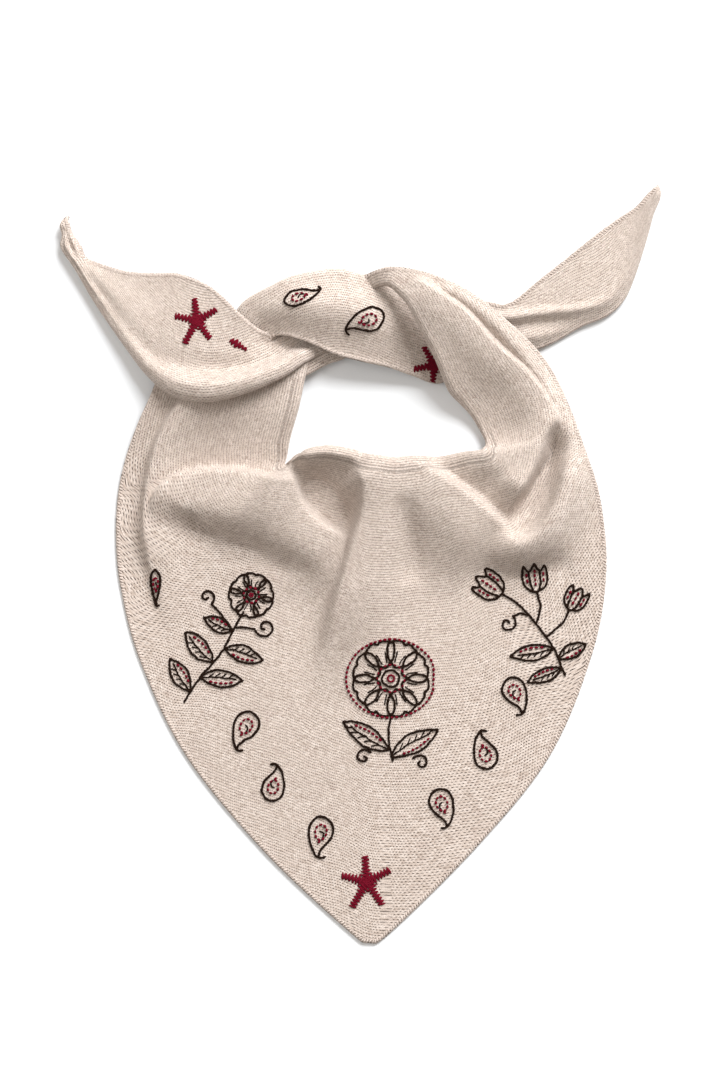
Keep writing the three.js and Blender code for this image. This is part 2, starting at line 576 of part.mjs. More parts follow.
// Height of a layer's face at a place, from the triangle above it
function faceAt({ face }, x, y) {
  let best = -Infinity;
  const test = (a, b, c) => {
    const area = (b[0] - a[0]) * (c[1] - a[1]) - (c[0] - a[0]) * (b[1] - a[1]);
    if (Math.abs(area) < 1e-9) return;
    const u = ((b[0] - x) * (c[1] - y) - (c[0] - x) * (b[1] - y)) / area;
    const v = ((c[0] - x) * (a[1] - y) - (a[0] - x) * (c[1] - y)) / area;
    const w = 1 - u - v;
    if (Math.min(u, v, w) >= -1e-6) best = Math.max(best, u * a[2] + v * b[2] + w * c[2]);
  };
  for (let i = 0; i < face.length - 1; i += 1) {
    for (let j = 0; j < face[i].length - 1; j += 1) {
      test(face[i][j], face[i][j + 1], face[i + 1][j + 1]);
      test(face[i][j], face[i + 1][j + 1], face[i + 1][j]);
    }
  }
  return best;
}

const STAR_POINTS = 5;
const STAR_RINGS = 3;

const STAR_STEPS = 4; // steps of the outline from one point to the next

// A five-pointed stitched star that follows the face below it, with one point towards +Y
function star(name, onto, [cx, cy], radius) {
  const around = STAR_POINTS * STAR_STEPS;
  const outline = (k) => {
    const share = Math.abs(((k / STAR_STEPS) % 1) * 2 - 1);
    return radius * (STAR_WAIST + (1 - STAR_WAIST) * share);
  };
  const places = [[cx, cy]];
  for (let ring = 1; ring <= STAR_RINGS; ring += 1) {
    for (let k = 0; k < around; k += 1) {
      const angle = Math.PI / 2 + (k / around) * 2 * Math.PI;
      const r = (outline(k) * ring) / STAR_RINGS;
      places.push([cx + r * Math.cos(angle), cy + r * Math.sin(angle)]);
    }
  }
  const faces = places.map(([x, y]) => [x, y, faceAt(onto, x, y) + STAR_GAP]);
  const tops = faces.map(([x, y, z]) => [x, y, z + STAR_THICKNESS]);
  const triangles = [];
  const add = (a, b, c) => {
    triangles.push([a, b, c], [a + places.length, c + places.length, b + places.length]);
  };
  const id = (ring, k) => (ring === 0 ? 0 : 1 + (ring - 1) * around + (k % around));
  for (let k = 0; k < around; k += 1) {
    add(0, id(1, k), id(1, k + 1));
    for (let ring = 1; ring < STAR_RINGS; ring += 1) {
      add(id(ring, k), id(ring + 1, k), id(ring + 1, k + 1));
      add(id(ring, k), id(ring + 1, k + 1), id(ring, k + 1));
    }
    const [a, b] = [id(STAR_RINGS, k), id(STAR_RINGS, k + 1)];
    triangles.push([a, a + places.length, b + places.length], [a, b + places.length, b]);
  }
  return meshOf(name, manifold([...tops, ...faces], triangles), crimson);
}

const kerchief = meshOf(
  'kerchief',
  oneBody([bodyLayer, leftTailLayer, bandLayer, rightTailLayer].map(solidOf)),
  knit,
);

const group = new THREE.Group();
group.add(
  kerchief,
  star('star_bib', bodyLayer, outside(BIB_STAR), STAR_RADIUS),
  star('star_left_tail', leftTailLayer, leftTail(LEFT_TAIL_STAR), SMALL_STAR * STAR_RADIUS),
);

// The origin is the middle of the whole, on the surface that it lies on
const box = new THREE.Box3().setFromObject(group);
const middle = box.getCenter(new THREE.Vector3());
group.position.set(-middle.x, -middle.y, -box.min.z);
group.updateMatrixWorld(true);

export default group;
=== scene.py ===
"""A triangular knitted neckerchief, laid on a pale floor and tied at its top with one half-knot.

The cloth repeats the tables of the part, in millimetres from the middle of the neck opening, at a finer
step, and every stitch lies on it. Blender's own units are metres.
"""

import bpy
import numpy as np
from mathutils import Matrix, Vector
from mathutils.bvhtree import BVHTree


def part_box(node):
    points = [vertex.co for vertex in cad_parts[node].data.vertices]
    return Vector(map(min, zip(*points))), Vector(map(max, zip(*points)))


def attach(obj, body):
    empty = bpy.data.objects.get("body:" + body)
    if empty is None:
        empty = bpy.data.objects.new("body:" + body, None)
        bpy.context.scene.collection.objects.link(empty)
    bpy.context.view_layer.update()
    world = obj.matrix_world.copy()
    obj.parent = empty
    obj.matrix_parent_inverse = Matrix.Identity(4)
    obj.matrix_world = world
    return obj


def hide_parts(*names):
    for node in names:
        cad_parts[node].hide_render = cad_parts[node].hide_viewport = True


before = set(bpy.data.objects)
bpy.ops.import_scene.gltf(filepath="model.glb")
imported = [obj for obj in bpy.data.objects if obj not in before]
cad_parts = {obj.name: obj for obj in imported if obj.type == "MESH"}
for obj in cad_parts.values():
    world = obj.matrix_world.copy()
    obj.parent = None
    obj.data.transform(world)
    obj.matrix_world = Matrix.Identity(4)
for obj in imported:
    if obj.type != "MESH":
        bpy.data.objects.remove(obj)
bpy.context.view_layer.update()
rng = np.random.default_rng(7)

# Named sizes of the part, in millimetres
WALL = 2.0  # thickness of the knit
LIFT = 40.0  # height of the knot above the surface
NECK_WIDTH = 140.0  # opening that the neck goes through
NECK_DEPTH = 77.0
BIB_WIDTH = 343.0  # widest part of the bib
BIB_DROP = 369.0  # middle of the opening to the bib's point
KNOT_RISE = 101.5  # middle of the opening to the top of the knot
BAND_LENGTH = 126.0  # band that crosses over the knot
LEFT_TAIL_REACH = 140.0  # knot to a tail's tip, across and up
LEFT_TAIL_RISE = 85.0
RIGHT_TAIL_REACH = 104.0
RIGHT_TAIL_RISE = 100.0
ROLL = 6.0  # radius of the soft roll round the opening
SLUMP = 60.0  # distance over which the cloth settles from the opening to the surface
FOLD = 70.0  # width that a fold's two slopes are shares of
TAIL_ROLL = 8.5  # radius of the roll along the left tail
BAND_ROLL = 5.0  # radius of the roll along the top of the band
TIP_ROLL = 2.4  # radius of the roll at both tips
STAR_RADIUS = 18.0
NARROW_ROLL = 0.16  # radius of the roll of a narrow ribbon, as a share of its width

# Where the tails and the band start and the bib's star lies, as shares of the sizes above
LEFT_TAIL_ROOT = (-0.615, 0.48)
RIGHT_TAIL_ROOT = (0.255, 0.586)
BAND_START = -0.2
BIB_STAR = (-0.041, -0.886)

# Sizes that only the picture needs, in millimetres
WALE = 1.9  # width of a column of loops
COURSE = 1.45  # length of a loop
BLACK_THREAD = 1.75
CRIMSON_THREAD = 1.8
STAR_THREAD = 1.55
BORDER_YARN = 1.1
BORDER_STITCH = 2.1  # from one border stitch to the next
BORDER = (0.35, 2.9)  # a border stitch's start and end, inwards from the edge
HEM_ROWS = (2.0, 4.6)  # sewn rows, from the rolled edge
NO_HEM = 100.0  # moves the rows off the cloth where there is no hem
LAYER_APART = 997.3  # keeps one layer's loops from repeating another's
MM = 0.001
TINY = 1e-9  # keeps a division off zero

# Sections of a layer that the sewn hem runs between
HEMMED = (2.0, 19.0)
UNHEMMED = (0, -1)


def table(columns, rows):
    return [dict(zip(columns.split(), row)) for row in rows]


# The bib and both arms, in sections from the opening's edge to the outer edge
BODY = table("inner outer rise edge curl", [
    ([-0.34, 0.68], [-0.422, 0.448], 0.175, 0.1, 0.5),
    ([-0.37, 0.54], [-0.459, 0.283], 0.225, 0.125, 0.5),
    ([-0.4, 0.32], [-0.48, 0.117], 0.275, 0.15, 0.5),
    ([-0.43, 0.06], [-0.504, -0.017], 0.25, 0.125, 0.5),
    ([-0.47, -0.19], [-0.529, -0.082], 0.125, 0.05, 0.5),
    ([-0.49, -0.38], [-0.545, -0.152], 0.025, 0.013, 0.5),
    ([-0.5, -0.45], [-0.549, -0.237], 0.05, 0.013, 0.5),
    ([-0.47, -0.44], [-0.539, -0.332], 0.15, 0.0, 0.67),
    ([-0.4, -0.32], [-0.5, -0.467], 0.275, 0.0, 1.0),
    ([-0.29, -0.28], [-0.408, -0.645], 0.3, 0.0, 1.0),
    ([-0.2, -0.3], [-0.251, -0.825], 0.325, 0.0, 1.0),
    ([-0.13, -0.33], [-0.078, -0.977], 0.3, 0.0, 1.0),
    ([-0.09, -0.35], [-0.033, -1.002], 0.3, 0.0, 1.0),
    ([-0.04, -0.37], [0.014, -0.979], 0.3, 0.0, 1.0),
    ([0.06, -0.41], [0.194, -0.812], 0.275, 0.0, 1.0),
    ([0.23, -0.39], [0.337, -0.645], 0.225, 0.0, 0.92),
    ([0.38, -0.36], [0.422, -0.455], 0.225, 0.0, 0.83),
    ([0.48, -0.35], [0.451, -0.304], 0.225, 0.013, 0.83),
    ([0.5, -0.26], [0.441, -0.171], 0.15, 0.025, 0.58),
    ([0.47, -0.14], [0.412, -0.076], 0.125, 0.037, 0.53),
    ([0.43, -0.02], [0.382, 0.0], 0.175, 0.075, 0.6),
    ([0.38, 0.08], [0.341, 0.297], 0.25, 0.15, 0.75),
    ([0.32, 0.19], [0.296, 0.49], 0.375, 0.3, 0.92),
    ([0.28, 0.34], [0.247, 0.641], 0.5, 0.375, 1.0),
    ([0.23, 0.55], [0.202, 0.766], 0.625, 0.425, 1.0),
    ([0.17, 0.75], [0.153, 0.869], 0.7, 0.475, 1.0),
    ([0.12, 0.93], [0.1, 0.945], 0.75, 0.55, 1.0),
    ([0.07, 1.06], [0.047, 0.993], 0.75, 0.6, 0.83),
    ([0.0, 1.15], [-0.002, 1.0], 0.65, 0.55, 0.67),
    ([-0.09, 1.05], [-0.059, 0.924], 0.325, 0.275, 0.5),
    ([-0.17, 0.57], [-0.116, 0.793], 0.2, 0.225, 0.37),
    ([-0.29, 0.45], [-0.163, 0.655], 0.175, 0.225, 0.37),
    ([-0.47, 0.29], [-0.214, 0.531], 0.175, 0.225, 0.37),
    ([-0.65, 0.24], [-0.263, 0.448], 0.15, 0.2, 0.37),
])

# Folds of the bib and the arms: crests where lift is above 0 and hollows where it is below
FOLDS = table("fold path lift steep gentle crown fadeIn fadeOut lean", [
    ("outer_strip", [[-0.427, -0.427], [-0.463, -0.317], [-0.48, -0.247], [-0.482, -0.184],
     [-0.471, -0.102], [-0.447, -0.036], [-0.394, 0.131], [-0.333, 0.366]], 0.225, 0.06, 0.34, 2,
     0.35, 0.1, 0.03),
    ("puff", [[-0.465, -0.252], [-0.463, -0.203], [-0.453, -0.161], [-0.422, -0.133], [-0.363,
     -0.121], [-0.282, -0.127], [-0.202, -0.146]], 0.4, 0.07, 0.56, 4, 0.4, 0.05, 0.08),
    ("pocket_lip", [[-0.214, -0.101], [-0.2, -0.137], [-0.186, -0.167], [-0.163, -0.199], [-0.131,
     -0.224], [-0.086, -0.239], [-0.031, -0.231]], 0.325, 0.08, 0.5, 3, 0.15, 0.3, 0.06),
    ("rim_crest", [[-0.19, -0.093], [-0.165, -0.076], [-0.12, -0.066], [-0.067, -0.076], [-0.027,
     -0.101], [0.031, -0.097], [0.092, -0.085]], 0.3, 0.12, 0.15, 2, 0.2, 0.45, 0.0),
    ("centre_ridge", [[-0.137, -0.541], [-0.116, -0.446], [-0.092, -0.361], [-0.063, -0.275],
     [-0.039, -0.19], [-0.035, -0.127], [-0.063, -0.082]], 0.45, 0.1, 0.46, 2.5, 0.45, 0.15, 0.04),
    ("front_fold", [[-0.035, -0.044], [0.031, -0.089], [0.096, -0.121], [0.161, -0.161], [0.224,
     -0.211], [0.271, -0.25]], 0.375, 0.09, 0.6, 3, 0.1, 0.3, 0.04),
    ("swag", [[0.165, -0.18], [0.222, -0.222], [0.267, -0.25], [0.312, -0.235], [0.349, -0.186],
     [0.373, -0.123], [0.384, -0.063], [0.376, -0.002]], 0.45, 0.11, 0.24, 2, 0.35, 0.3, 0.03),
    ("right_rim", [[0.112, -0.085], [0.214, -0.08], [0.265, -0.072], [0.318, -0.055], [0.351,
     -0.028]], 0.3, 0.06, 0.26, 2, 0.25, 0.0, 0.04),
    ("wall_edge", [[0.231, -0.197], [0.263, -0.156], [0.292, -0.112], [0.316, -0.066], [0.339,
     -0.025]], 0.375, 0.28, 0.08, 2.4, 0.4, 0.0, 0.0),
    ("arm_ridge", [[0.047, 0.917], [0.104, 0.793], [0.155, 0.676], [0.218, 0.448], [0.284, 0.255],
     [0.329, 0.048], [0.351, -0.028]], 0.3, 0.07, 0.34, 2, 0.1, 0.0, 0.03),
    ("outer_band", [[0.096, 0.903], [0.173, 0.752], [0.245, 0.538], [0.31, 0.255], [0.361, -0.006],
     [0.394, -0.089], [0.41, -0.146]], 0.2, 0.12, 0.12, 2, 0.1, 0.2, 0.0),
    ("groove", [[0.359, -0.009], [0.349, -0.049], [0.331, -0.093], [0.308, -0.137], [0.282,
     -0.175], [0.255, -0.207]], -0.3, 0.07, 0.07, 2, 0.3, 0.3, 0.0),
    ("pocket", [[-0.137, -0.142], [-0.096, -0.173]], -0.35, 0.2, 0.2, 2, 0.0, 0.0, 0.0),
    ("left_valley", [[-0.431, -0.171], [-0.378, -0.213], [-0.3, -0.25], [-0.206, -0.283], [-0.129,
     -0.309]], -0.125, 0.13, 0.13, 2, 0.25, 0.25, 0.0),
    ("centre_valley", [[0.039, -0.142], [0.047, -0.332]], -0.075, 0.12, 0.12, 2, 0.3, 0.3, 0.0),
    ("under_swag", [[0.157, -0.302], [0.265, -0.313], [0.382, -0.268]], -0.125, 0.17, 0.17, 2, 0.3,
     0.3, 0.0),
])

# Tails and band, in sections from the rolled edge outwards; pairs are a place across and a height
LEFT_TAIL = table("inner outer foot roll valley ridge edge", [
    ([-0.425, -0.008], [-0.3, 0.273], 0.175, [0.26, 0.225], [0.5, 0.175], [0.75, 0.175], 0.175),
    ([-0.32, -0.066], [-0.19, 0.19], 0.25, [0.24, 0.3], [0.55, 0.2], [0.78, 0.175], 0.175),
    ([-0.22, -0.149], [-0.09, 0.107], 0.375, [0.22, 0.45], [0.56, 0.225], [0.8, 0.2], 0.2),
    ([-0.11, -0.273], [0.0, 0.116], 0.5, [0.2, 0.625], [0.5, 0.3], [0.76, 0.225], 0.3),
    ([0.07, -0.405], [0.11, 0.256], 0.6, [0.16, 0.75], [0.37, 0.375], [0.52, 0.4], 0.45),
    ([0.265, -0.479], [0.255, 0.471], 0.6, [0.13, 0.75], [0.31, 0.4], [0.46, 0.45], 0.4),
    ([0.44, -0.43], [0.41, 0.579], 0.475, [0.12, 0.6], [0.28, 0.375], [0.43, 0.4], 0.3),
    ([0.57, -0.264], [0.535, 0.587], 0.325, [0.12, 0.425], [0.25, 0.3], [0.4, 0.325], 0.225),
    ([0.69, -0.008], [0.67, 0.603], 0.225, [0.15, 0.3], [0.3, 0.275], [0.5, 0.3], 0.2),
    ([0.835, 0.339], [0.795, 0.661], 0.15, [0.25, 0.25], [0.4, 0.225], [0.6, 0.25], 0.175),
    ([0.935, 0.62], [0.875, 0.719], 0.1, [0.3, 0.25], [0.45, 0.25], [0.6, 0.225], 0.15),
    ([1.005, 0.793], [0.9, 0.81], 0.1, [0.3, 0.25], [0.5, 0.175], [0.7, 0.225], 0.125),
    ([1.0, 0.901], [0.945, 0.917], 0.1, [0.3, 0.2], [0.5, 0.2], [0.7, 0.2], 0.1),
    ([1.01, 0.983], [0.96, 1.0], 0.1, [0.3, 0.225], [0.5, 0.225], [0.7, 0.225], 0.1),
    ([0.995, 1.033], [0.975, 1.041], 0.1, [0.3, 0.175], [0.5, 0.175], [0.7, 0.175], 0.1),
])
BAND = table("inner outer top crest hem", [
    ([-0.65, 0.6], [-0.461, 0.393], 0.125, [0.5, 0.175], 0.125),
    ([-0.572, 0.772], [-0.406, 0.517], 0.175, [0.5, 0.25], 0.25),
    ([-0.428, 0.876], [-0.339, 0.538], 0.325, [0.5, 0.475], 0.375),
    ([-0.289, 0.952], [-0.206, 0.49], 0.425, [0.45, 0.65], 0.45),
    ([-0.072, 1.0], [-0.056, 0.407], 0.475, [0.45, 0.725], 0.475),
    ([0.083, 0.972], [0.094, 0.359], 0.475, [0.45, 0.7], 0.425),
    ([0.228, 0.91], [0.25, 0.317], 0.375, [0.5, 0.525], 0.35),
    ([0.361, 0.848], [0.383, 0.262], 0.225, [0.55, 0.35], 0.225),
    ([0.539, 0.779], [0.528, 0.214], 0.175, [0.5, 0.225], 0.125),
    ([0.694, 0.766], [0.683, 0.338], 0.2, [0.5, 0.225], 0.125),
    ([0.861, 0.752], [0.861, 0.434], 0.2, [0.5, 0.25], 0.125),
])
RIGHT_TAIL = table("inner outer foot lobe crease roll hollow edge", [
    ([-0.324, -0.154], [-0.392, 0.182], 0.1, [0.25, 0.225], [0.45, 0.175], [0.65, 0.275], [0.8,
     0.2], 0.2),
    ([-0.122, -0.161], [-0.176, 0.196], 0.1, [0.28, 0.225], [0.48, 0.175], [0.68, 0.275], [0.85,
     0.2], 0.2),
    ([0.122, -0.154], [-0.014, 0.182], 0.1, [0.3, 0.225], [0.52, 0.175], [0.72, 0.3], [0.9, 0.212],
     0.212),
    ([0.284, -0.098], [0.189, 0.343], 0.1, [0.17, 0.2], [0.33, 0.175], [0.49, 0.312], [0.62,
     0.225], 0.225),
    ([0.473, 0.014], [0.392, 0.51], 0.1, [0.06, 0.15], [0.12, 0.2], [0.26, 0.325], [0.36, 0.25],
     0.225),
    ([0.649, 0.091], [0.568, 0.657], 0.1, [0.05, 0.15], [0.09, 0.2], [0.18, 0.287], [0.32, 0.25],
     0.225),
    ([0.77, 0.21], [0.716, 0.769], 0.1, [0.06, 0.15], [0.12, 0.2], [0.24, 0.25], [0.4, 0.225], 0.2),
    ([0.851, 0.406], [0.838, 0.853], 0.1, [0.08, 0.15], [0.16, 0.2], [0.3, 0.225], [0.5, 0.212],
     0.175),
    ([0.926, 0.657], [0.912, 0.937], 0.1, [0.1, 0.15], [0.2, 0.175], [0.35, 0.212], [0.55, 0.2],
     0.15),
    ([0.966, 0.811], [0.946, 0.972], 0.1, [0.1, 0.15], [0.2, 0.175], [0.4, 0.2], [0.6, 0.2], 0.125),
    ([1.007, 0.909], [0.966, 0.993], 0.1, [0.1, 0.15], [0.2, 0.175], [0.4, 0.225], [0.6, 0.225],
     0.125),
    ([1.014, 0.972], [0.986, 1.0], 0.1, [0.1, 0.125], [0.2, 0.15], [0.4, 0.175], [0.6, 0.175], 0.1),
])


# Plan frames and smooth curves


def opening(p):
    return (p[0] * NECK_WIDTH, p[1] * NECK_DEPTH)


def outside(p):
    return (p[0] * BIB_WIDTH, p[1] * (BIB_DROP if p[1] < 0 else KNOT_RISE))


def left_tail(p):
    x, y = LEFT_TAIL_ROOT
    return (x * NECK_WIDTH - p[0] * LEFT_TAIL_REACH, y * KNOT_RISE + p[1] * LEFT_TAIL_RISE)


def over_knot(p):
    return (BAND_START * NECK_WIDTH + p[0] * BAND_LENGTH, p[1] * KNOT_RISE)


def right_tail(p):
    x, y = RIGHT_TAIL_ROOT
    return (x * BIB_WIDTH + p[0] * RIGHT_TAIL_REACH, y * KNOT_RISE + p[1] * RIGHT_TAIL_RISE)


def between(rows, stations):
    """Smooth curve through the rows, read at the stations between them."""
    rows = np.asarray(rows, float)
    stations = np.asarray(stations, float)
    last = len(rows) - 1
    k = np.minimum(stations.astype(int), last - 1)
    t = (stations - k)[:, None]
    a, b, d, e = (rows[np.clip(k + step, 0, last)] for step in (-1, 0, 1, 2))
    return b + 0.5 * t * (d - a + t * (2 * a - 5 * b + 4 * d - e + t * (3 * (b - d) + e - a)))


def ease(t):
    u = np.clip(t, 0, 1)
    return u * u * (3 - 2 * u)


def faded(along, share):
    return ease(along / share) if share > 0 else 1.0


def unit(v):
    return v / (np.linalg.norm(v, axis=-1, keepdims=True) + TINY)


# Heights of the cloth

FOLD_STEPS = 32
MERGE = 5  # how sharply folds that meet turn into one crest
BELL = 2  # crown of a plain bell
LEAN_SPREAD = 1.3  # how far a fold's lean spreads, against its steep slope
SETTLE = 0.6  # how softly the cloth comes down on the surface, and how far that would lift it
SETTLE_DROP = 0.39
FOLD_LINES = [
    between([outside(p) for p in f["path"]], np.linspace(0, len(f["path"]) - 1, FOLD_STEPS + 1))
    for f in FOLDS
]


def folds(x, y):
    """Height and sideways lean that the folds give at each place. Where raised folds meet they merge
    into one crest, and hollows are taken off."""
    raised, hollow = np.zeros_like(x), np.zeros_like(x)
    lean_x, lean_y = np.zeros_like(x), np.zeros_like(x)
    for fold, line in zip(FOLDS, FOLD_LINES):
        nearest = np.full(x.shape, np.inf)
        along, side = np.zeros_like(x), np.zeros_like(x)
        left_x, left_y = np.zeros_like(x), np.zeros_like(x)
        for k, ((ax, ay), (bx, by)) in enumerate(zip(line[:-1], line[1:])):
            dx, dy = bx - ax, by - ay
            length = np.hypot(dx, dy)
            t = np.clip(((x - ax) * dx + (y - ay) * dy) / length**2, 0, 1)
            px, py = x - ax - t * dx, y - ay - t * dy
            distance = np.hypot(px, py)
            near = distance < nearest
            nearest = np.where(near, distance, nearest)
            along = np.where(near, (k + t) / FOLD_STEPS, along)
            side = np.where(near, (dx * py - dy * px) / (length * distance + TINY), side)
            left_x = np.where(near, -dy / length, left_x)
            left_y = np.where(near, dx / length, left_y)
        steep, gentle = fold["steep"] * FOLD, fold["gentle"] * FOLD
        lean_to = 0.5 + 0.5 * side
        fade = faded(along, fold["fadeIn"]) * faded(1 - along, fold["fadeOut"])
        crown = fold["crown"] + (BELL - fold["crown"]) * lean_to
        spread = gentle + (steep - gentle) * lean_to
        height = fold["lift"] * LIFT * fade * np.exp(-((nearest / spread) ** crown))
        if fold["lift"] > 0:
            raised += height**MERGE
        else:
            hollow += height
        if fold["lean"]:
            push = fold["lean"] * FOLD * fade * np.exp(-((nearest / (LEAN_SPREAD * steep)) ** BELL))
            lean_x += left_x * push
            lean_y += left_y * push
    return raised ** (1 / MERGE) + hollow, lean_x, lean_y


def body_height(x, y, distance, forms, width):
    rise, edge = forms[:, 0:1], forms[:, 1:2]
    z, lean_x, lean_y = folds(x, y)
    h = (edge + (rise - edge) * np.exp(-((distance / SLUMP) ** BELL))) * LIFT + z
    settled = 0.5 * (h + np.sqrt(h * h + SETTLE)) - SETTLE_DROP * np.exp(-np.abs(h))
    return WALL + settled, lean_x, lean_y


def ribbon_height(x, y, distance, forms, width):
    share = distance / width
    z = np.zeros_like(share)
    for i, form in enumerate(forms):
        places, heights = form[0::2], form[1::2] * LIFT
        k = np.clip(np.searchsorted(places, share[i], side="right") - 1, 0, len(places) - 2)
        z[i] = heights[k] + (heights[k + 1] - heights[k]) * ease(
            (share[i] - places[k]) / (places[k + 1] - places[k])
        )
    return z, np.zeros_like(z), np.zeros_like(z)


# Layers of cloth

TUCK = 2  # columns of the mesh in a layer's tucked part
TURN = 8  # columns round the half turn of its roll


def layer(rows, height, step, columns, crowd=1):
    """Face and back of one layer: a tucked part, the soft roll, then the face out to the far side.
    Sections are about a step apart in millimetres, and a crowd above 1 sets columns closer to the roll."""
    rows = np.array(rows, float)
    stations = [0.0]
    for k, (a, b) in enumerate(zip(rows[:-1], rows[1:])):
        length = np.hypot(*(b[0:2] - a[0:2])) + np.hypot(*(b[2:4] - a[2:4]))
        count = max(1, round(length / 2 / step))
        stations += [k + i / count for i in range(1, count + 1)]
    r = between(rows, stations)
    inner, outer, curl, forms = r[:, 0:2], r[:, 2:4], r[:, 4:5], r[:, 5:]
    width = np.hypot(*(outer - inner).T)[:, None]
    way = (outer - inner) / width

    def face_at(d):
        x, y = inner[:, 0:1] + way[:, 0:1] * d, inner[:, 1:2] + way[:, 1:2] * d
        return (x, y, *height(x, y, d, forms, width))

    crown = face_at(curl)[2]
    radius = np.minimum(curl, crown / 2)
    x, y, z, lean_x, lean_y = face_at(
        radius + (width - radius) * (np.linspace(0, 1, columns + 1)[None, :] ** crowd)
    )
    lean = np.concatenate([lean_x[:, :1], lean_y[:, :1]], 1)

    def edge_column(d, z):
        return np.concatenate([inner + way * d + lean, z], 1)

    turned = []
    for j in range(TUCK, 0, -1):
        turned.append(edge_column(radius + j * radius / TUCK, crown - 2 * radius))
    for j in range(TURN):
        angle = np.pi * (j / TURN - 0.5)
        turned.append(edge_column(radius - radius * np.cos(angle), crown - radius + radius * np.sin(angle)))
    face = np.concatenate([np.stack(turned, 1), np.stack([x + lean_x, y + lean_y, z], 2)], 1)
    normal = unit(np.cross(np.gradient(face, axis=0), np.gradient(face, axis=1)))
    if normal[:, TUCK + TURN:, 2].mean() < 0:
        normal = -normal
    back = face - normal * WALL
    back[..., 2] = np.maximum(back[..., 2], 0)
    return {"face": face, "back": back, "normal": normal, "stations": np.array(stations)}


def ribbon(table, place, names, curl, step, columns):
    rows = []
    for row in table:
        forms = []
        for name in names:
            value = row[name]
            forms += value if isinstance(value, list) else [0 if name == names[0] else 1, value]
        rows.append([*place(row["inner"]), *place(row["outer"]), curl(row), *forms])
    return layer(rows, ribbon_height, step, columns)


def narrowing(row, place, most):
    (ix, iy), (ox, oy) = place(row["inner"]), place(row["outer"])
    return min(most, max(TIP_ROLL, NARROW_ROLL * np.hypot(ox - ix, oy - iy)))


body = layer(
    [
        [*opening(r["inner"]), *outside(r["outer"]), r["curl"] * ROLL, r["rise"], r["edge"]]
        for r in BODY
    ],
    body_height, step=3.2, columns=109, crowd=1.3,
)
tail_left = ribbon(
    LEFT_TAIL, left_tail, ["foot", "roll", "valley", "ridge", "edge"],
    lambda r: narrowing(r, left_tail, TAIL_ROLL), step=2.0, columns=42,
)
band = ribbon(
    BAND, over_knot, ["top", "crest", "hem"],
    lambda r: narrowing(r, over_knot, BAND_ROLL), step=1.9, columns=36,
)
tail_right = ribbon(
    RIGHT_TAIL, right_tail, ["foot", "lobe", "crease", "roll", "hollow", "edge"],
    lambda r: TIP_ROLL, step=1.9, columns=40,
)
LAYERS = [body, tail_left, band, tail_right]

# The stitched star at the bib's point gives the shift from the opening's middle to the model's origin
(low, high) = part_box("star_bib")
star_x, star_y = outside(BIB_STAR)
SHIFT = np.array([(low[0] + high[0]) / 2 - star_x * MM, high[1] - (star_y + STAR_RADIUS) * MM, 0.0])


def metres(points):
    return np.asarray(points, float) * MM + SHIFT


# Fabric coordinates

FIT_ROUNDS = 400
SHORT_EDGE = 0.2  # square millimetres added, so that very short edges don't outweigh the others
HOLD = 1e-6  # holds the fit down where its edges leave it free
FIT_END = 1e-12  # keeps a division off zero when the fit is done


def fabric(shape):
    """Wale and course coordinates in millimetres: across grows away from the rolled side, and along
    is fitted so that the courses stand square to the wales."""
    face = shape["face"]
    rows, columns = face.shape[:2]
    run_i, run_j = np.diff(face, axis=0), np.diff(face, axis=1)
    across = np.concatenate([np.zeros((rows, 1)), np.cumsum(np.linalg.norm(run_j, axis=2), 1)], 1)
    first = TUCK + TURN
    across -= across[:, first:first + 1]
    e_i, e_j = np.gradient(face, axis=0), np.gradient(face, axis=1)
    g_i, g_j = np.gradient(across, axis=0), np.gradient(across, axis=1)
    ii, jj, ij = (e_i * e_i).sum(2), (e_j * e_j).sum(2), (e_i * e_j).sum(2)
    det = ii * jj - ij**2 + TINY
    rise = ((g_i * jj - g_j * ij) / det)[..., None] * e_i + ((g_j * ii - g_i * ij) / det)[..., None] * e_j
    course = unit(np.cross(unit(rise), shape["normal"]))
    want_i = (run_i * (course[1:] + course[:-1]) / 2).sum(2)
    want_j = (run_j * (course[:, 1:] + course[:, :-1]) / 2).sum(2)
    weight_i = 1 / ((run_i**2).sum(2) + SHORT_EDGE)
    weight_j = 1 / ((run_j**2).sum(2) + SHORT_EDGE)

    def transpose(a, b):
        out = np.zeros((rows, columns))
        out[1:] += a
        out[:-1] -= a
        out[:, 1:] += b
        out[:, :-1] -= b
        return out

    def normal_map(u):
        return transpose(weight_i * np.diff(u, axis=0), weight_j * np.diff(u, axis=1)) + HOLD * u

    start = np.cumsum(np.concatenate([[0], want_i.mean(1)]))
    along = np.repeat(start[:, None], columns, 1)
    residual = transpose(weight_i * want_i, weight_j * want_j) - normal_map(along)
    search, size = residual.copy(), (residual**2).sum()
    for _ in range(FIT_ROUNDS):
        image = normal_map(search)
        share = size / ((search * image).sum() + FIT_END)
        along += share * search
        residual -= share * image
        new = (residual**2).sum()
        search = residual + new / (size + FIT_END) * search
        size = new
    if along[-1].mean() < along[0].mean():
        along = -along
    return along, across


# Meshes

SAMPLE = 50  # quads that tell which way a layer faces


def mesh_object(name, points, faces, material):
    mesh = bpy.data.meshes.new(name)
    mesh.from_pydata(np.asarray(points).tolist(), [], faces)
    mesh.polygons.foreach_set("use_smooth", [True] * len(mesh.polygons))
    mesh.update()
    mesh.materials.append(material)
    piece = bpy.data.objects.new(name, mesh)
    bpy.context.collection.objects.link(piece)
    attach(piece, "root")
    return piece


def add_uv(piece, name, places):
    """A UV map with the given name, on which each vertex has its own place."""
    loops = np.zeros(len(piece.data.loops), int)
    piece.data.loops.foreach_get("vertex_index", loops)
    piece.data.uv_layers.new(name=name).data.foreach_set("uv", places[loops].ravel())


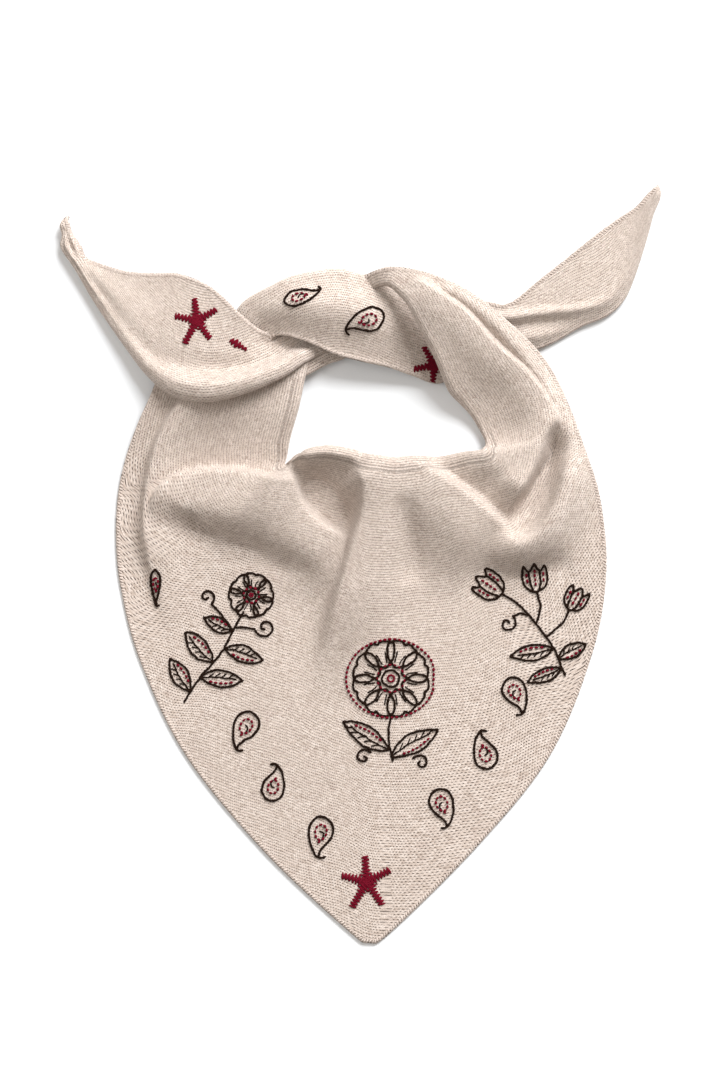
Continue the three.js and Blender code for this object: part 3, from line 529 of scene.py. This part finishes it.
def grid_quads(number):
    return np.stack([number[:-1, :-1], number[:-1, 1:], number[1:, 1:], number[1:, :-1]], 2).reshape(-1, 4)


def shell(shape, start, hemmed):
    """Points, quads and their fabric coordinates of one closed layer."""
    face, back = shape["face"], shape["back"]
    rows, columns = face.shape[:2]
    points = np.concatenate([face.reshape(-1, 3), back.reshape(-1, 3)])
    number = np.arange(rows * columns).reshape(rows, columns)
    under = number + rows * columns
    quads = [
        grid_quads(number),
        grid_quads(under)[:, [0, 3, 2, 1]],
    ]
    rims = [(number[:, 0], under[:, 0]), (under[:, -1], number[:, -1]),
            (under[0], number[0]), (number[-1], under[-1])]
    for a, b in rims:
        quads.append(np.stack([a[:-1], a[1:], b[1:], b[:-1]], 1))
    quads = np.concatenate(quads)
    corner = points[quads[:SAMPLE]]
    turned = np.cross(corner[:, 1] - corner[:, 0], corner[:, 2] - corner[:, 0]).mean(0)
    middle = shape["normal"].reshape(-1, 3)[quads[:SAMPLE, 0]].mean(0)
    if (turned * middle).sum() < 0:
        quads = quads[:, ::-1]
    along, across = fabric(shape)
    bare = (shape["stations"] < hemmed[0]) | (shape["stations"] > hemmed[1])
    hem = across + NO_HEM * bare[:, None]
    cloth = np.stack([along, across, hem, np.zeros_like(hem)], 2).reshape(-1, 4)
    return points, quads + start, np.concatenate([cloth, cloth])


def cloth_piece(name, shapes, hems, material):
    points, faces, coordinates = [], [], []
    for k, (shape, hemmed) in enumerate(zip(shapes, hems)):
        p, f, c = shell(shape, sum(len(q) for q in points), hemmed)
        points.append(metres(p))
        faces.append(f)
        coordinates.append(c + [k * LAYER_APART, 0, 0, 0])
    piece = mesh_object(name, np.concatenate(points), np.concatenate(faces).tolist(), material)
    coordinates = np.concatenate(coordinates) * MM
    add_uv(piece, "fabric", coordinates[:, :2])
    add_uv(piece, "hem", coordinates[:, 2:])
    return piece


# Materials


class Nodes:
    """A material's nodes, made and linked in one call each."""

    def __init__(self, name):
        self.material = bpy.data.materials.new(name)
        self.material.use_nodes = True
        self.tree = self.material.node_tree
        self.shader = self.tree.nodes["Principled BSDF"]
        self.place = self.node("ShaderNodeTexCoord").outputs["Object"]

    def node(self, kind, inputs=None, **settings):
        made = self.tree.nodes.new(kind)
        for key, value in settings.items():
            setattr(made, key, value)
        for key, value in (inputs or {}).items():
            self.feed(made.inputs[key], value)
        return made

    def feed(self, socket, value):
        if isinstance(value, bpy.types.NodeSocket):
            self.tree.links.new(value, socket)
        else:
            socket.default_value = value

    def surface(self, inputs):
        for key, value in inputs.items():
            self.feed(self.shader.inputs[key], value)

    def bump(self, height, strength, distance):
        inputs = {"Height": height, "Strength": strength, "Distance": distance * MM}
        return self.node("ShaderNodeBump", inputs).outputs["Normal"]

    def uv_map(self, name):
        return self.node("ShaderNodeUVMap", uv_map=name).outputs["UV"]

    def split(self, vector):
        return self.node("ShaderNodeSeparateXYZ", {0: vector}).outputs

    def vector(self, operation, value, inputs):
        return self.node("ShaderNodeVectorMath", {0: value, **inputs}, operation=operation).outputs[0]

    def math(self, operation, *values):
        made = self.node("ShaderNodeMath", operation=operation)
        for socket, value in zip(made.inputs, values):
            self.feed(socket, value)
        return made.outputs[0]

    def off_middle(self, value):
        """Distance from the middle of each whole step, up to 0.5 at its ends."""
        return self.math("ABSOLUTE", self.math("SUBTRACT", self.math("FRACT", value), 0.5))

    def mix(self, factor, a, b):
        made = self.node("ShaderNodeMix", data_type="RGBA")
        self.feed(made.inputs["Factor"], factor)
        self.feed(made.inputs["A"], a)
        self.feed(made.inputs["B"], b)
        return made.outputs["Result"]

    def noise(self, scale, detail, roughness):
        inputs = {"Vector": self.place, "Scale": scale, "Detail": detail, "Roughness": roughness}
        return self.node("ShaderNodeTexNoise", inputs).outputs["Fac"]

    def chance(self, x, y, z):
        """A random number for each cell."""
        cell = self.node("ShaderNodeCombineXYZ", {"X": x, "Y": y, "Z": z}).outputs[0]
        return self.node("ShaderNodeTexWhiteNoise", {"Vector": cell}, noise_dimensions="3D").outputs["Value"]

    def ramp(self, value, low, high, to_low=0.0, to_high=1.0, kind="LINEAR"):
        inputs = {"Value": value, "From Min": low, "From Max": high, "To Min": to_low, "To Max": to_high}
        return self.node("ShaderNodeMapRange", inputs, interpolation_type=kind).outputs["Result"]

    def smooth(self, value, span):
        return self.ramp(value, *span, kind="SMOOTHSTEP")


WANDER = 0.6  # millimetres that the loops stray from a straight grid
WANDER_SCALE = 320.0
LEG_SLOPE = 1.5  # how steeply a loop's legs lean to the middle of the column
COLUMN_SHIFT = 0.5  # how far the loops climb from one column to the next

# Where the parts of a loop start and are full, in steps from its middle: a tick is the end of a loop,
# a groove the border of two columns and a heart the middle of one
TICK = (0.18, 0.42)
GROOVE = (0.24, 0.45)
HEART = (0.1, 0.0)
SEWN_END = (0.16, 0.34)
SEWN_SIDE = (0.8 * MM, 0.2 * MM)

# How much painted shade those parts get, from 0 to 1, where a hole is a tick in a groove
GROOVE_DARK = 0.12
TICK_DARK = 0.1
SEWN_DARK = 0.8
HEART_DARK = 0.12
HOLE_SEED = 7.0

# Colours of the knit
KNIT_LIGHT = (0.83, 0.73, 0.66, 1)
KNIT_MID = (0.56, 0.46, 0.39, 1)
KNIT_DARK = (0.42, 0.325, 0.265, 1)
# painted shade: the near-black laid in the holes, grooves and sewn rows between the loops
KNIT_GAP_SHADE = (0.095, 0.058, 0.044, 1)
KNIT_FLECK = (0.2, 0.135, 0.1, 1)
FLECK_SHARE = 0.2
FLECKED = (0.92, 0.97)  # chances between which a half loop becomes a fleck

FIBRE_RELIEF = 0.45  # height of the fibres, as a share of a loop's

# Noises of the yarn, by name: scale, detail and roughness
YARN_NOISES = {
    "fibres": (2600.0, 3.0, 0.7),
    "strands": (1000.0, 3.0, 0.65),
    "cloud": (34.0, 3.0, 0.6),
    "patch": (150.0, 3.0, 0.6),
}

# Colours laid over the yarn where a noise rises from low to high, up to the most
OVERLAYS = table("noise low high most colour", [
    ("strands", 0.48, 0.70, 0.6, KNIT_DARK),
    ("fibres", 0.62, 0.8, 0.5, (0.93, 0.88, 0.83, 1)),
    ("patch", 0.5, 0.75, 0.38, (0.46, 0.35, 0.305, 1)),
    ("cloud", 0.35, 0.7, 0.35, (0.62, 0.52, 0.45, 1)),
])


def loop_pattern(n):
    """Painted shade among the loops, also used as their bump, and a random number for each half loop."""
    wander = n.node("ShaderNodeTexNoise", {"Vector": n.place, "Scale": WANDER_SCALE, "Detail": 1.0})
    shifted = n.vector("ADD", wander.outputs["Color"], {1: (-0.5, -0.5, -0.5)})
    moved = n.vector("SCALE", shifted, {"Scale": WANDER * MM})
    cloth = n.split(n.vector("ADD", n.uv_map("fabric"), {1: moved}))
    along = n.math("DIVIDE", cloth["X"], COURSE * MM)
    across = n.math("DIVIDE", cloth["Y"], WALE * MM)
    side = n.off_middle(across)
    slant = n.math("MULTIPLY", across, COLUMN_SHIFT)
    leg = n.math("ADD", slant, n.math("SUBTRACT", along, n.math("MULTIPLY", side, LEG_SLOPE)))
    bow = n.off_middle(leg)
    course = n.math("FLOOR", leg)
    half = n.math("GREATER_THAN", n.math("FRACT", across), 0.5)
    dice = n.chance(course, n.math("FLOOR", across), half)
    luck = n.chance(course, n.math("FLOOR", n.math("ADD", across, 0.5)), HOLE_SEED)
    tick = n.smooth(bow, TICK)
    groove = n.smooth(side, GROOVE)
    hole = n.math("MULTIPLY", n.math("MULTIPLY", groove, tick), n.ramp(luck, 0.0, 0.55, 0.3, 1.0))
    dark = n.math("ADD", hole, n.math("MULTIPLY", groove, GROOVE_DARK))
    dark = n.math("MAXIMUM", dark, n.math("MULTIPLY", tick, TICK_DARK))
    # the sewn rows of the hem get the same painted shade
    from_edge = n.split(n.uv_map("hem"))["X"]
    for row in HEM_ROWS:
        off_row = n.math("ABSOLUTE", n.math("SUBTRACT", from_edge, row * MM))
        sewn = n.math("MULTIPLY", n.smooth(off_row, SEWN_SIDE), n.smooth(bow, SEWN_END))
        dark = n.math("MAXIMUM", dark, n.math("MULTIPLY", sewn, SEWN_DARK))
    dark = n.math("MAXIMUM", dark, n.math("MULTIPLY", n.smooth(side, HEART), HEART_DARK))
    return dark, dice


def knit_material():
    n = Nodes("heather_knit")
    dark, dice = loop_pattern(n)
    noises = {name: n.noise(*settings) for name, settings in YARN_NOISES.items()}
    colour = n.mix(n.ramp(dice, 0.0, 1.0), KNIT_LIGHT, KNIT_MID)
    for o in OVERLAYS:
        share = n.ramp(noises[o["noise"]], o["low"], o["high"], 0.0, o["most"])
        colour = n.mix(share, colour, o["colour"])
    # Painted shade: the holes, grooves and sewn rows between the loops darken towards a near-black
    gap_shade = n.math("MULTIPLY", dark, n.ramp(noises["strands"], 0.35, 0.65, 0.85, 1.0))
    colour = n.mix(gap_shade, colour, KNIT_GAP_SHADE)
    fleck = n.math("MULTIPLY", n.ramp(dice, *FLECKED), FLECK_SHARE)
    relief = n.math("ADD", n.math("SUBTRACT", 1.0, dark), n.math("MULTIPLY", noises["fibres"], FIBRE_RELIEF))
    n.surface({
        "Base Color": n.mix(fleck, colour, KNIT_FLECK),
        "Roughness": n.ramp(noises["fibres"], 0.3, 0.7, 0.82, 0.98),
        "Specular IOR Level": 0.18,
        "Sheen Weight": 0.22,
        "Sheen Roughness": 0.55,
        "Sheen Tint": (1.0, 0.94, 0.88, 1),
        "Normal": n.bump(relief, strength=1.0, distance=0.9),
    })
    return n.material


PLY_TURNS = 2.2  # turns of a thread's plies over a length as long as the thread is thick
PLIES = 2.0
HAIR_RELIEF = 0.4  # height of the hairs, as a share of a ply's


def thread_material(name, dark, light, sheen):
    n = Nodes(name)
    thread = n.split(n.uv_map("ply"))
    lengthwise = n.math("MULTIPLY", thread["X"], PLY_TURNS)
    twist = n.math("ADD", lengthwise, n.math("MULTIPLY", thread["Y"], PLIES))
    ply = n.math("ABSOLUTE", n.math("SINE", n.math("MULTIPLY", twist, np.pi)))
    hair = n.noise(4200.0, 2.0, 0.6)
    # painted shade: each thread is darker in the grooves between its plies, and a little by the hairs'
    # random tone
    shade = n.math("MULTIPLY", n.ramp(ply, 0.0, 0.7, 0.25, 1.0), n.ramp(hair, 0.3, 0.7, 0.6, 1.0))
    relief = n.math("ADD", ply, n.math("MULTIPLY", hair, HAIR_RELIEF))
    n.surface({
        "Base Color": n.mix(shade, dark, light),
        "Roughness": n.ramp(hair, 0.3, 0.7, 0.55, 0.8),
        "Specular IOR Level": 0.06,
        "Sheen Weight": sheen,
        "Sheen Roughness": 0.4,
        "Normal": n.bump(relief, strength=0.7, distance=0.3),
    })
    return n.material


knit = knit_material()
# each thread's colour in the painted shade between its plies, then its own colour, then its sheen
black = thread_material("black_thread", (0.004, 0.002, 0.001, 1), (0.02, 0.009, 0.005, 1), 0.0)
border_yarn = thread_material("border_yarn", (0.50, 0.41, 0.35, 1), (0.72, 0.62, 0.56, 1), 0.2)
crimson = thread_material("crimson_thread", (0.055, 0.001, 0.006, 1), (0.185, 0.004, 0.018, 1), 0.03)

kerchief = cloth_piece("kerchief_cloth", LAYERS, [HEMMED, UNHEMMED, UNHEMMED, UNHEMMED], knit)
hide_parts("kerchief")

# Thread on the cloth

RAY_START = 0.3  # metres above the floor, over all of the cloth
CURVE_STEPS = 10  # from one point of a drawn line to the next


def tree_of(shape):
    face = metres(shape["face"])
    rows, columns = face.shape[:2]
    number = np.arange(rows * columns).reshape(rows, columns)
    return BVHTree.FromPolygons(face.reshape(-1, 3).tolist(), grid_quads(number).tolist())


def on_cloth(tree, plan):
    """Places and normals in metres, straight below points in millimetres from the opening's middle."""
    places, normals = [], []
    for x, y in plan:
        start = Vector((x * MM + SHIFT[0], y * MM + SHIFT[1], RAY_START))
        place, normal, _, _ = tree.ray_cast(start, Vector((0, 0, -1)))
        if place is None:
            place, normal = (np.nan, np.nan, np.nan), Vector((0, 0, 1))
        places.append(tuple(place))
        normals.append(tuple(normal if normal.z > 0 else -normal))
    return np.array(places), np.array(normals)


def resampled(points, step):
    points = np.asarray(points, float)
    length = np.concatenate([[0], np.cumsum(np.linalg.norm(np.diff(points, axis=0), axis=1))])
    count = max(2, int(round(length[-1] / step)) + 1)
    at = np.linspace(0, length[-1], count)
    return np.stack([np.interp(at, length, points[:, k]) for k in range(points.shape[1])], 1)


def smooth_line(points, closed):
    points = [tuple(p) for p in points]
    if closed:
        points = points + points[:1]
    return between(points, np.linspace(0, len(points) - 1, CURVE_STEPS * (len(points) - 1) + 1))


class Threads:
    """One piece of many short stitches: each a thin round strand that dips into the cloth at both ends."""

    SIDES = 6
    BENDS = 5
    FULLNESS = 0.6  # how soon a strand is at its full height, where 0 is at once
    THIN_END = 0.62  # thickness of its ends, as a share of its middle's
    DROP = 6.0  # millimetres that a stitch may fall, and how much more for each one of its length
    SLOPE = 1.5
    OVERLAP = 0.24  # share of a stitch that the next one of a drawn line covers

    def __init__(self, name, material, slot):
        self.name, self.material, self.slot = name, material, slot
        self.points, self.faces, self.ply = [], [], []

    def stitch(self, tree, a, b, diameter, high=0.32, dip=0.3):
        """One strand from a to b. It stands high over the cloth and dips under it, in thicknesses."""
        a, b = np.asarray(a, float), np.asarray(b, float)
        t = np.linspace(0, 1, self.BENDS + 1)[:, None]
        spine, normal = on_cloth(tree, a + (b - a) * t)
        most = (self.DROP + self.SLOPE * np.linalg.norm(b - a)) * MM
        if np.isnan(spine).any() or np.ptp(spine[:, 2]) > most:
            return
        swell = np.sin(np.pi * t[:, 0]) ** self.FULLNESS
        thick = diameter * MM
        spine = spine + normal * thick * (swell * (high + dip) - dip)[:, None]
        run = unit(np.gradient(spine, axis=0))
        across = unit(np.cross(run, normal))
        up = np.cross(across, run)
        radius = thick / 2 * (self.THIN_END + (1 - self.THIN_END) * swell)
        start = len(self.points)
        length = np.linalg.norm(np.diff(spine, axis=0), axis=1).sum() / thick
        for i in range(self.BENDS + 1):
            for s in range(self.SIDES):
                turn = 2 * np.pi * s / self.SIDES
                self.points.append(spine[i] + radius[i] * (np.cos(turn) * across[i] + np.sin(turn) * up[i]))
                self.ply.append((length * i / self.BENDS, PLIES * s / self.SIDES))
        turns = np.arange(self.SIDES)
        end = start + self.BENDS * self.SIDES
        for first in range(start, end, self.SIDES):
            near, after = first + turns, first + (turns + 1) % self.SIDES
            self.faces += np.stack([near, after, after + self.SIDES, near + self.SIDES], 1).tolist()
        self.faces += [(start + turns[::-1]).tolist(), (end + turns).tolist()]

    def line(self, tree, points, diameter, length=2.7, shake=0.2, gap=-OVERLAP, **more):
        """A line of stitches, each a little off the drawn one. The gap is a share of a stitch."""
        marks = resampled(points, length)
        marks = marks + rng.normal(0, shake, marks.shape)
        for a, b in zip(marks[:-1], marks[1:]):
            reach = (b - a) * (gap / 2)
            self.stitch(tree, a + reach, b - reach, diameter * rng.uniform(0.86, 1.12), **more)

    def piece(self):
        made = mesh_object(self.name, self.points, self.faces, self.material)
        add_uv(made, "ply", np.array(self.ply))
        return made


class Motif:
    """Draws in its own millimetres and lays the lines on the cloth, turned and moved to their place."""

    def __init__(self, tree, place, turn=0.0, size=1.0, mirror=False, squeeze=1.0):
        self.tree, self.place = tree, np.array(place, float)
        c, s = np.cos(np.radians(turn)), np.sin(np.radians(turn))
        self.turn = np.array([[c, s], [-s, c]])
        self.scale = size * np.array([-squeeze if mirror else squeeze, 1.0])

    def lay(self, points, closed):
        return (smooth_line(points, closed) * self.scale) @ self.turn + self.place

    def ink(self, points, closed=False, diameter=BLACK_THREAD):
        outline.line(self.tree, self.lay(points, closed), diameter)

    def dots(self, points, closed=False, step=3.5):
        running.line(
            self.tree, self.lay(points, closed), CRIMSON_THREAD, length=step, gap=0.46,
            shake=0.1, high=0.4, dip=0.12,
        )


ARM_STEP = 1.22  # from one stitch of a star's arm to the next
ARM_START = 0.4
ARM_HALF = 2.75  # half the length of a stitch there
MIDDLE_HALF = 3.9  # what is added to it at the star's middle, and how far out that reaches
MIDDLE_REACH = 5.8
RAGGED = 0.2
SLANTS = (-0.12, 0.30)  # how the stitches slant, by turns


def star_stitches(tree, place, turn, size, arms):
    """Arms of stitches laid across them, which makes the jagged edge."""
    for angle, reach in arms:
        angle = np.radians(angle + turn)
        way = np.array([np.cos(angle), np.sin(angle)])
        side = np.array([-way[1], way[0]])
        for k, s in enumerate(np.arange(ARM_START, reach * size, ARM_STEP)):
            middle = MIDDLE_HALF * np.exp(-((s / size / MIDDLE_REACH) ** 2))
            half = size * (ARM_HALF + middle + rng.normal(0, RAGGED))
            slant = way * half * SLANTS[k % 2]
            a, b = place + way * s - side * half - slant, place + way * s + side * half + slant
            stars.stitch(tree, a, b, STAR_THREAD * rng.uniform(0.9, 1.1), high=0.34, dip=0.3)


# The opening's middle, across and down from the corner that the places below are measured from
OPENING_MIDDLE = (269.5, 290.5)


def from_middle(x, y):
    """Millimetres from the opening's middle to a place on the laid kerchief, given across and down."""
    return np.array([x - OPENING_MIDDLE[0], OPENING_MIDDLE[1] - y])


outline = Threads("black_outlines", black, None)
running = Threads("crimson_running_stitches", crimson, "crimson_thread")
stars = Threads("crimson_stars", crimson, "crimson_thread")
TREES = [tree_of(shape) for shape in LAYERS]
on_body, on_left, on_band = TREES[:3]

# A paisley: its tail hooks sideways at the bottom; shares of its height
PAISLEY = [
    (0.12, -0.475), (0.05, -0.505), (-0.045, -0.485), (-0.17, -0.32), (-0.255, -0.07), (-0.275, 0.17),
    (-0.205, 0.37), (-0.02, 0.49), (0.18, 0.44), (0.31, 0.27), (0.305, 0.09), (0.2, -0.1), (0.06, -0.25),
    (-0.02, -0.37), (-0.03, -0.46),
]
PAISLEY_LOOP = [
    (0.02, -0.09), (-0.1, -0.03), (-0.13, 0.12), (-0.08, 0.26), (0.04, 0.31), (0.15, 0.24), (0.16, 0.1),
    (0.1, -0.02), (0.02, -0.09), (-0.08, -0.15),
]
PAISLEY_HOOK = [(-0.01, 0.14), (0.06, 0.12), (0.08, 0.03), (0.03, -0.06)]
PAISLEYS = table("on at height turn mirror squeeze", [
    (on_body, (170.8, 511.5), 28.5, -18, False, 1.0),
    (on_body, (191.8, 548.0), 26.0, 175, False, 1.0),
    (on_body, (224.0, 586.0), 29.0, 0, False, 1.0),
    (on_body, (338.8, 525.0), 27.5, 187, True, 1.0),
    (on_body, (310.0, 565.8), 28.0, 9, True, 1.0),
    (on_body, (361.2, 487.2), 27.5, 14, True, 1.0),
    (on_body, (109.2, 411.6), 26.0, 4, False, 0.42),
    (on_band, (212.1, 208.6), 27.0, 112, False, 0.66),
    (on_band, (254.8, 226.4), 29.0, -62, False, 0.92),
])

# Thickness of a paisley's rim, a leaf's rib and its veins, as shares of the black thread
RIM = 1.05
RIB = 0.7
VEIN = 0.6

for p in PAISLEYS:
    drawn = Motif(p["on"], from_middle(*p["at"]), p["turn"], p["height"], p["mirror"], p["squeeze"])
    drawn.ink(PAISLEY, diameter=BLACK_THREAD * RIM)
    drawn.ink(PAISLEY_HOOK, diameter=BLACK_THREAD * RIB)
    drawn.dots(PAISLEY_LOOP)


# Sprigs and the rosette


def around(centre, angle, points):
    """Turns points drawn along +X by an angle in degrees and moves them."""
    c, s = np.cos(np.radians(angle)), np.sin(np.radians(angle))
    return np.asarray(points, float) @ np.array([[c, s], [-s, c]]) + np.asarray(centre, float)


# Outlines of a leaf, in shares of its length and of half its width, and of a cup in shares of its size
LEAF_UPPER = [(0, 0), (0.18, 0.62), (0.45, 1.0), (0.78, 0.62), (1, 0.05)]
LEAF_LOWER = [(0, 0), (0.2, -0.5), (0.5, -0.86), (0.8, -0.55), (1, 0.05)]
CUP = [
    (0, 0), (0.12, 0.3), (0.45, 0.46), (0.98, 0.4), (0.74, 0.2), (1.06, 0.0), (0.74, -0.2),
    (0.98, -0.4), (0.45, -0.46), (0.12, -0.3),
]


def leaf(m, base, angle, length, width, veins=4):
    for side in (LEAF_UPPER, LEAF_LOWER):
        m.ink(around(base, angle, np.array(side) * [length, width / 2]))
    m.ink(around(base, angle, [(0, 0), (0.4 * length, 0.1 * width), (0.84 * length, 0.03 * width)]),
          diameter=BLACK_THREAD * RIB)
    for k in range(veins):
        s = 0.2 + 0.15 * k
        reach = 0.3 * width * min(1, 3 * (0.94 - s))
        m.ink(around(base, angle, [(s * length, 0.06 * width), ((s + 0.12) * length, reach)]),
              diameter=BLACK_THREAD * VEIN)
    m.dots(around(base, angle, [(0.2 * length, -0.15 * width), (0.5 * length, -0.24 * width),
                                (0.8 * length, -0.12 * width)]))


def tendril(m, centre, radius, start, turns):
    at = np.linspace(0, 1, 16)
    angle = np.radians(start + 360 * turns * at)
    r = radius * (1 - 0.8 * at)
    m.ink(np.stack([centre[0] + r * np.cos(angle), centre[1] + r * np.sin(angle)], 1))


def ring(step):
    """Points of a round line with a radius of 1, a step of so many degrees apart."""
    at = np.radians(np.arange(0, 360, step))
    return np.stack([np.cos(at), np.sin(at)], 1)


def blossom(m, centre, radius, petals, turn):
    for k in range(petals):
        angle = turn + 360 * k / petals
        w = radius * np.sin(np.pi / petals) * 1.02
        shape = [(0.3 * radius, 0), (0.52 * radius, w * 0.8), (0.84 * radius, w), (radius, w * 0.32),
                 (0.93 * radius, 0), (radius, -w * 0.32), (0.84 * radius, -w), (0.52 * radius, -w * 0.8)]
        m.ink(around(centre, angle, shape), closed=True)
        for off in (-0.3, 0.3):
            m.ink(around(centre, angle, [(0.42 * radius, off * w * 0.5), (0.7 * radius, off * w)]),
                  diameter=BLACK_THREAD * VEIN)
    hub = ring(30)
    m.ink(centre + hub * radius * 0.22, closed=True)
    m.dots(centre + hub * radius * 0.36, closed=True)
    m.dots(centre + hub * radius * 0.09, closed=True, step=1.6)


def cup(m, base, angle, size):
    m.ink(around(base, angle, np.array(CUP) * size), closed=True)
    for side in (1, -1):
        rib = np.array([(0.05, 0.12), (0.4, 0.2), (0.74, 0.2)]) * [size, size * side]
        m.ink(around(base, angle, rib))
    m.dots(around(base, angle, np.array([(0.2, 0.0), (0.85, 0.0)]) * size))
    for side in (-1, 1):
        m.dots(around(base, angle, np.array([(0.3, 0.3 * side), (0.75, 0.32 * side)]) * size))


# Left sprig: a curved stem with leaves, one open blossom and two tendrils
m = Motif(on_body, from_middle(160.0, 449.0), 4)
m.ink([(-34, -40), (-22, -24), (-6, -8), (4, 8), (12, 20)])
leaf(m, (-29, -33), 118, 27, 13)
leaf(m, (-22, -24), -8, 30, 13)
leaf(m, (-12, -14), 128, 29, 14)
leaf(m, (-3, -5), -22, 28, 13)
leaf(m, (3, 7), 150, 22, 11, veins=3)
tendril(m, (26, 8), 7.5, 190, 1.2)
m.ink([(6, 9), (12, 9), (18.6, 7)])
blossom(m, np.array((18, 31)), 15.5, 6, 12)
tendril(m, (-13, 32), 6, -60, 1.1)
m.ink([(3, 7), (-3, 18), (-10, 26.8)])

# Right branch: three cups on one stem
m = Motif(on_body, from_middle(369.5, 432.0), -6)
m.ink([(30, -38), (20, -20), (6, -4), (-8, 8), (-20, 14)])
cup(m, (-20, 14), 152, 21)
m.ink([(6, -4), (8, 8), (4, 18)])
cup(m, (4, 18), 102, 19)
m.ink([(14, -12), (24, -2), (28, 8)])
cup(m, (28, 8), 66, 17)
leaf(m, (20, -20), 196, 31, 12)
leaf(m, (24, -27), 34, 22, 11, veins=3)
leaf(m, (27, -33), 208, 26, 10, veins=3)
tendril(m, (-14, -6), 6.5, 60, -1.15)
m.ink([(0, 1), (-5, 2), (-10.6, -0.4)])

# Rosette in the middle, over two leaves, with a wide ring of running stitches
m = Motif(on_body, from_middle(273.5, 489.0), 0)
blossom(m, np.array((0, 14)), 27, 8, 22.5)
wide_ring = (ring(20) * 27.5 + [0, 14])[:0:-1] * [1.14, 1.0]
m.dots(wide_ring, closed=True, step=3.4)
m.ink([(0, -13), (-1.5, -26), (1, -44)])
leaf(m, (-1, -36), 148, 38, 15, veins=5)
leaf(m, (0, -41), 30, 38, 15, veins=5)
tendril(m, (-19, -41), 6, 30, 1.1)
tendril(m, (21, -45), 6, 150, -1.1)

# Stars: the angle and the reach of each arm, where one star is half under the roll
ARMS = [(94, 18.2), (27, 17.9), (-56, 18.9), (-120, 20.4), (166, 18.5)]
HALF_HIDDEN = [(-30, 17), (150, 10)]
star_stitches(on_body, from_middle(256.6, 617.4), 0, 1.0, ARMS)
star_stitches(on_left, from_middle(138.2, 225.4), 2, 0.86, ARMS)
star_stitches(on_left, from_middle(165.5, 241.5), 0, 0.5, HALF_HIDDEN)
star_stitches(on_band, from_middle(303.6, 256.0), 26, 0.76, ARMS)

# Stitches over the border along each outer edge; a column further in tells which way is inward
INNER_COLUMN = -12
border = Threads("border_stitches", border_yarn, "knit")
for tree, shape in zip(TREES, LAYERS):
    edge = resampled(shape["face"][:, -1, :2], BORDER_STITCH)
    run = unit(np.gradient(edge, axis=0))
    inward = np.stack([-run[:, 1], run[:, 0]], 1)
    middle = shape["face"][:, INNER_COLUMN, :2]
    nearest = np.linalg.norm(edge[:, None] - middle[None], axis=2).argmin(1)
    if ((middle[nearest] - edge) * inward).sum() < 0:
        inward = -inward
    for place, way, lead in zip(edge, inward, run):
        slant = lead * BORDER_STITCH * rng.uniform(0.2, 0.5)
        border.stitch(tree, place + way * BORDER[0] - slant, place + way * BORDER[1] + slant,
                      BORDER_YARN * rng.uniform(0.8, 1.2), high=0.05, dip=0.4)

threads = [outline.piece(), running.piece(), stars.piece(), border.piece()]
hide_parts("star_bib", "star_left_tail")


# Floor, light and camera

FLOOR_HALF = 12.0
LIGHTS = table("name place size power colour", [
    ("key", (1.75, 3.4, 2.6), 3.0, 430.0, (0.985, 0.99, 1.0)),
    ("fill", (-2.2, 0.5, 3.6), 2.6, 40.0, (1.0, 0.98, 0.96)),
])
WORLD_COLOUR = (1.0, 0.94, 0.88, 1)
WORLD_STRENGTH = 0.42

# The photograph's height in pixels, a pixel and the middle of the view in millimetres, and the lens
PHOTO_PIXELS = 1080
PIXEL = 0.70
VIEW_MIDDLE = (-0.35, 17.15)
LENS = 150
SENSOR = 36


def floor():
    mesh = bpy.data.meshes.new("floor")
    s = FLOOR_HALF
    mesh.from_pydata([(-s, -s, 0), (s, -s, 0), (s, s, 0), (-s, s, 0)], [], [(0, 1, 2, 3)])
    piece = bpy.data.objects.new("floor", mesh)
    bpy.context.collection.objects.link(piece)
    n = Nodes("pale_floor")
    paper = n.ramp(n.noise(900.0, 3.0, 0.6), 0.3, 0.7)
    n.surface({
        "Base Color": n.mix(paper, (0.865, 0.89, 0.915, 1), (0.885, 0.905, 0.92, 1)),
        "Roughness": 0.9,
        "Specular IOR Level": 0.1,
    })
    mesh.materials.append(n.material)


def area_light(name, place, size, power, colour):
    """A round light that looks at the origin."""
    light = bpy.data.lights.new(name, "AREA")
    light.shape = "DISK"
    light.size = size
    light.energy = power
    light.color = colour
    lamp = bpy.data.objects.new(name, light)
    lamp.location = place
    lamp.rotation_euler = (-Vector(place)).to_track_quat("-Z", "Y").to_euler()
    bpy.context.collection.objects.link(lamp)


floor()
for settings in LIGHTS:
    area_light(**settings)

world = bpy.data.worlds.new("studio")
world.use_nodes = True
background = world.node_tree.nodes["Background"]
background.inputs["Color"].default_value = WORLD_COLOUR
background.inputs["Strength"].default_value = WORLD_STRENGTH
scene = bpy.context.scene
scene.world = world
scene.view_settings.view_transform = "Standard"
scene.view_settings.look = "None"

camera_data = bpy.data.cameras.new("camera")
camera_data.lens = LENS
camera_data.sensor_width = SENSOR
camera = bpy.data.objects.new("camera", camera_data)
camera.location = (VIEW_MIDDLE[0] * MM, VIEW_MIDDLE[1] * MM, PHOTO_PIXELS * PIXEL * MM * LENS / SENSOR)
bpy.context.collection.objects.link(camera)
scene.camera = camera

bpy.context.view_layer.update()
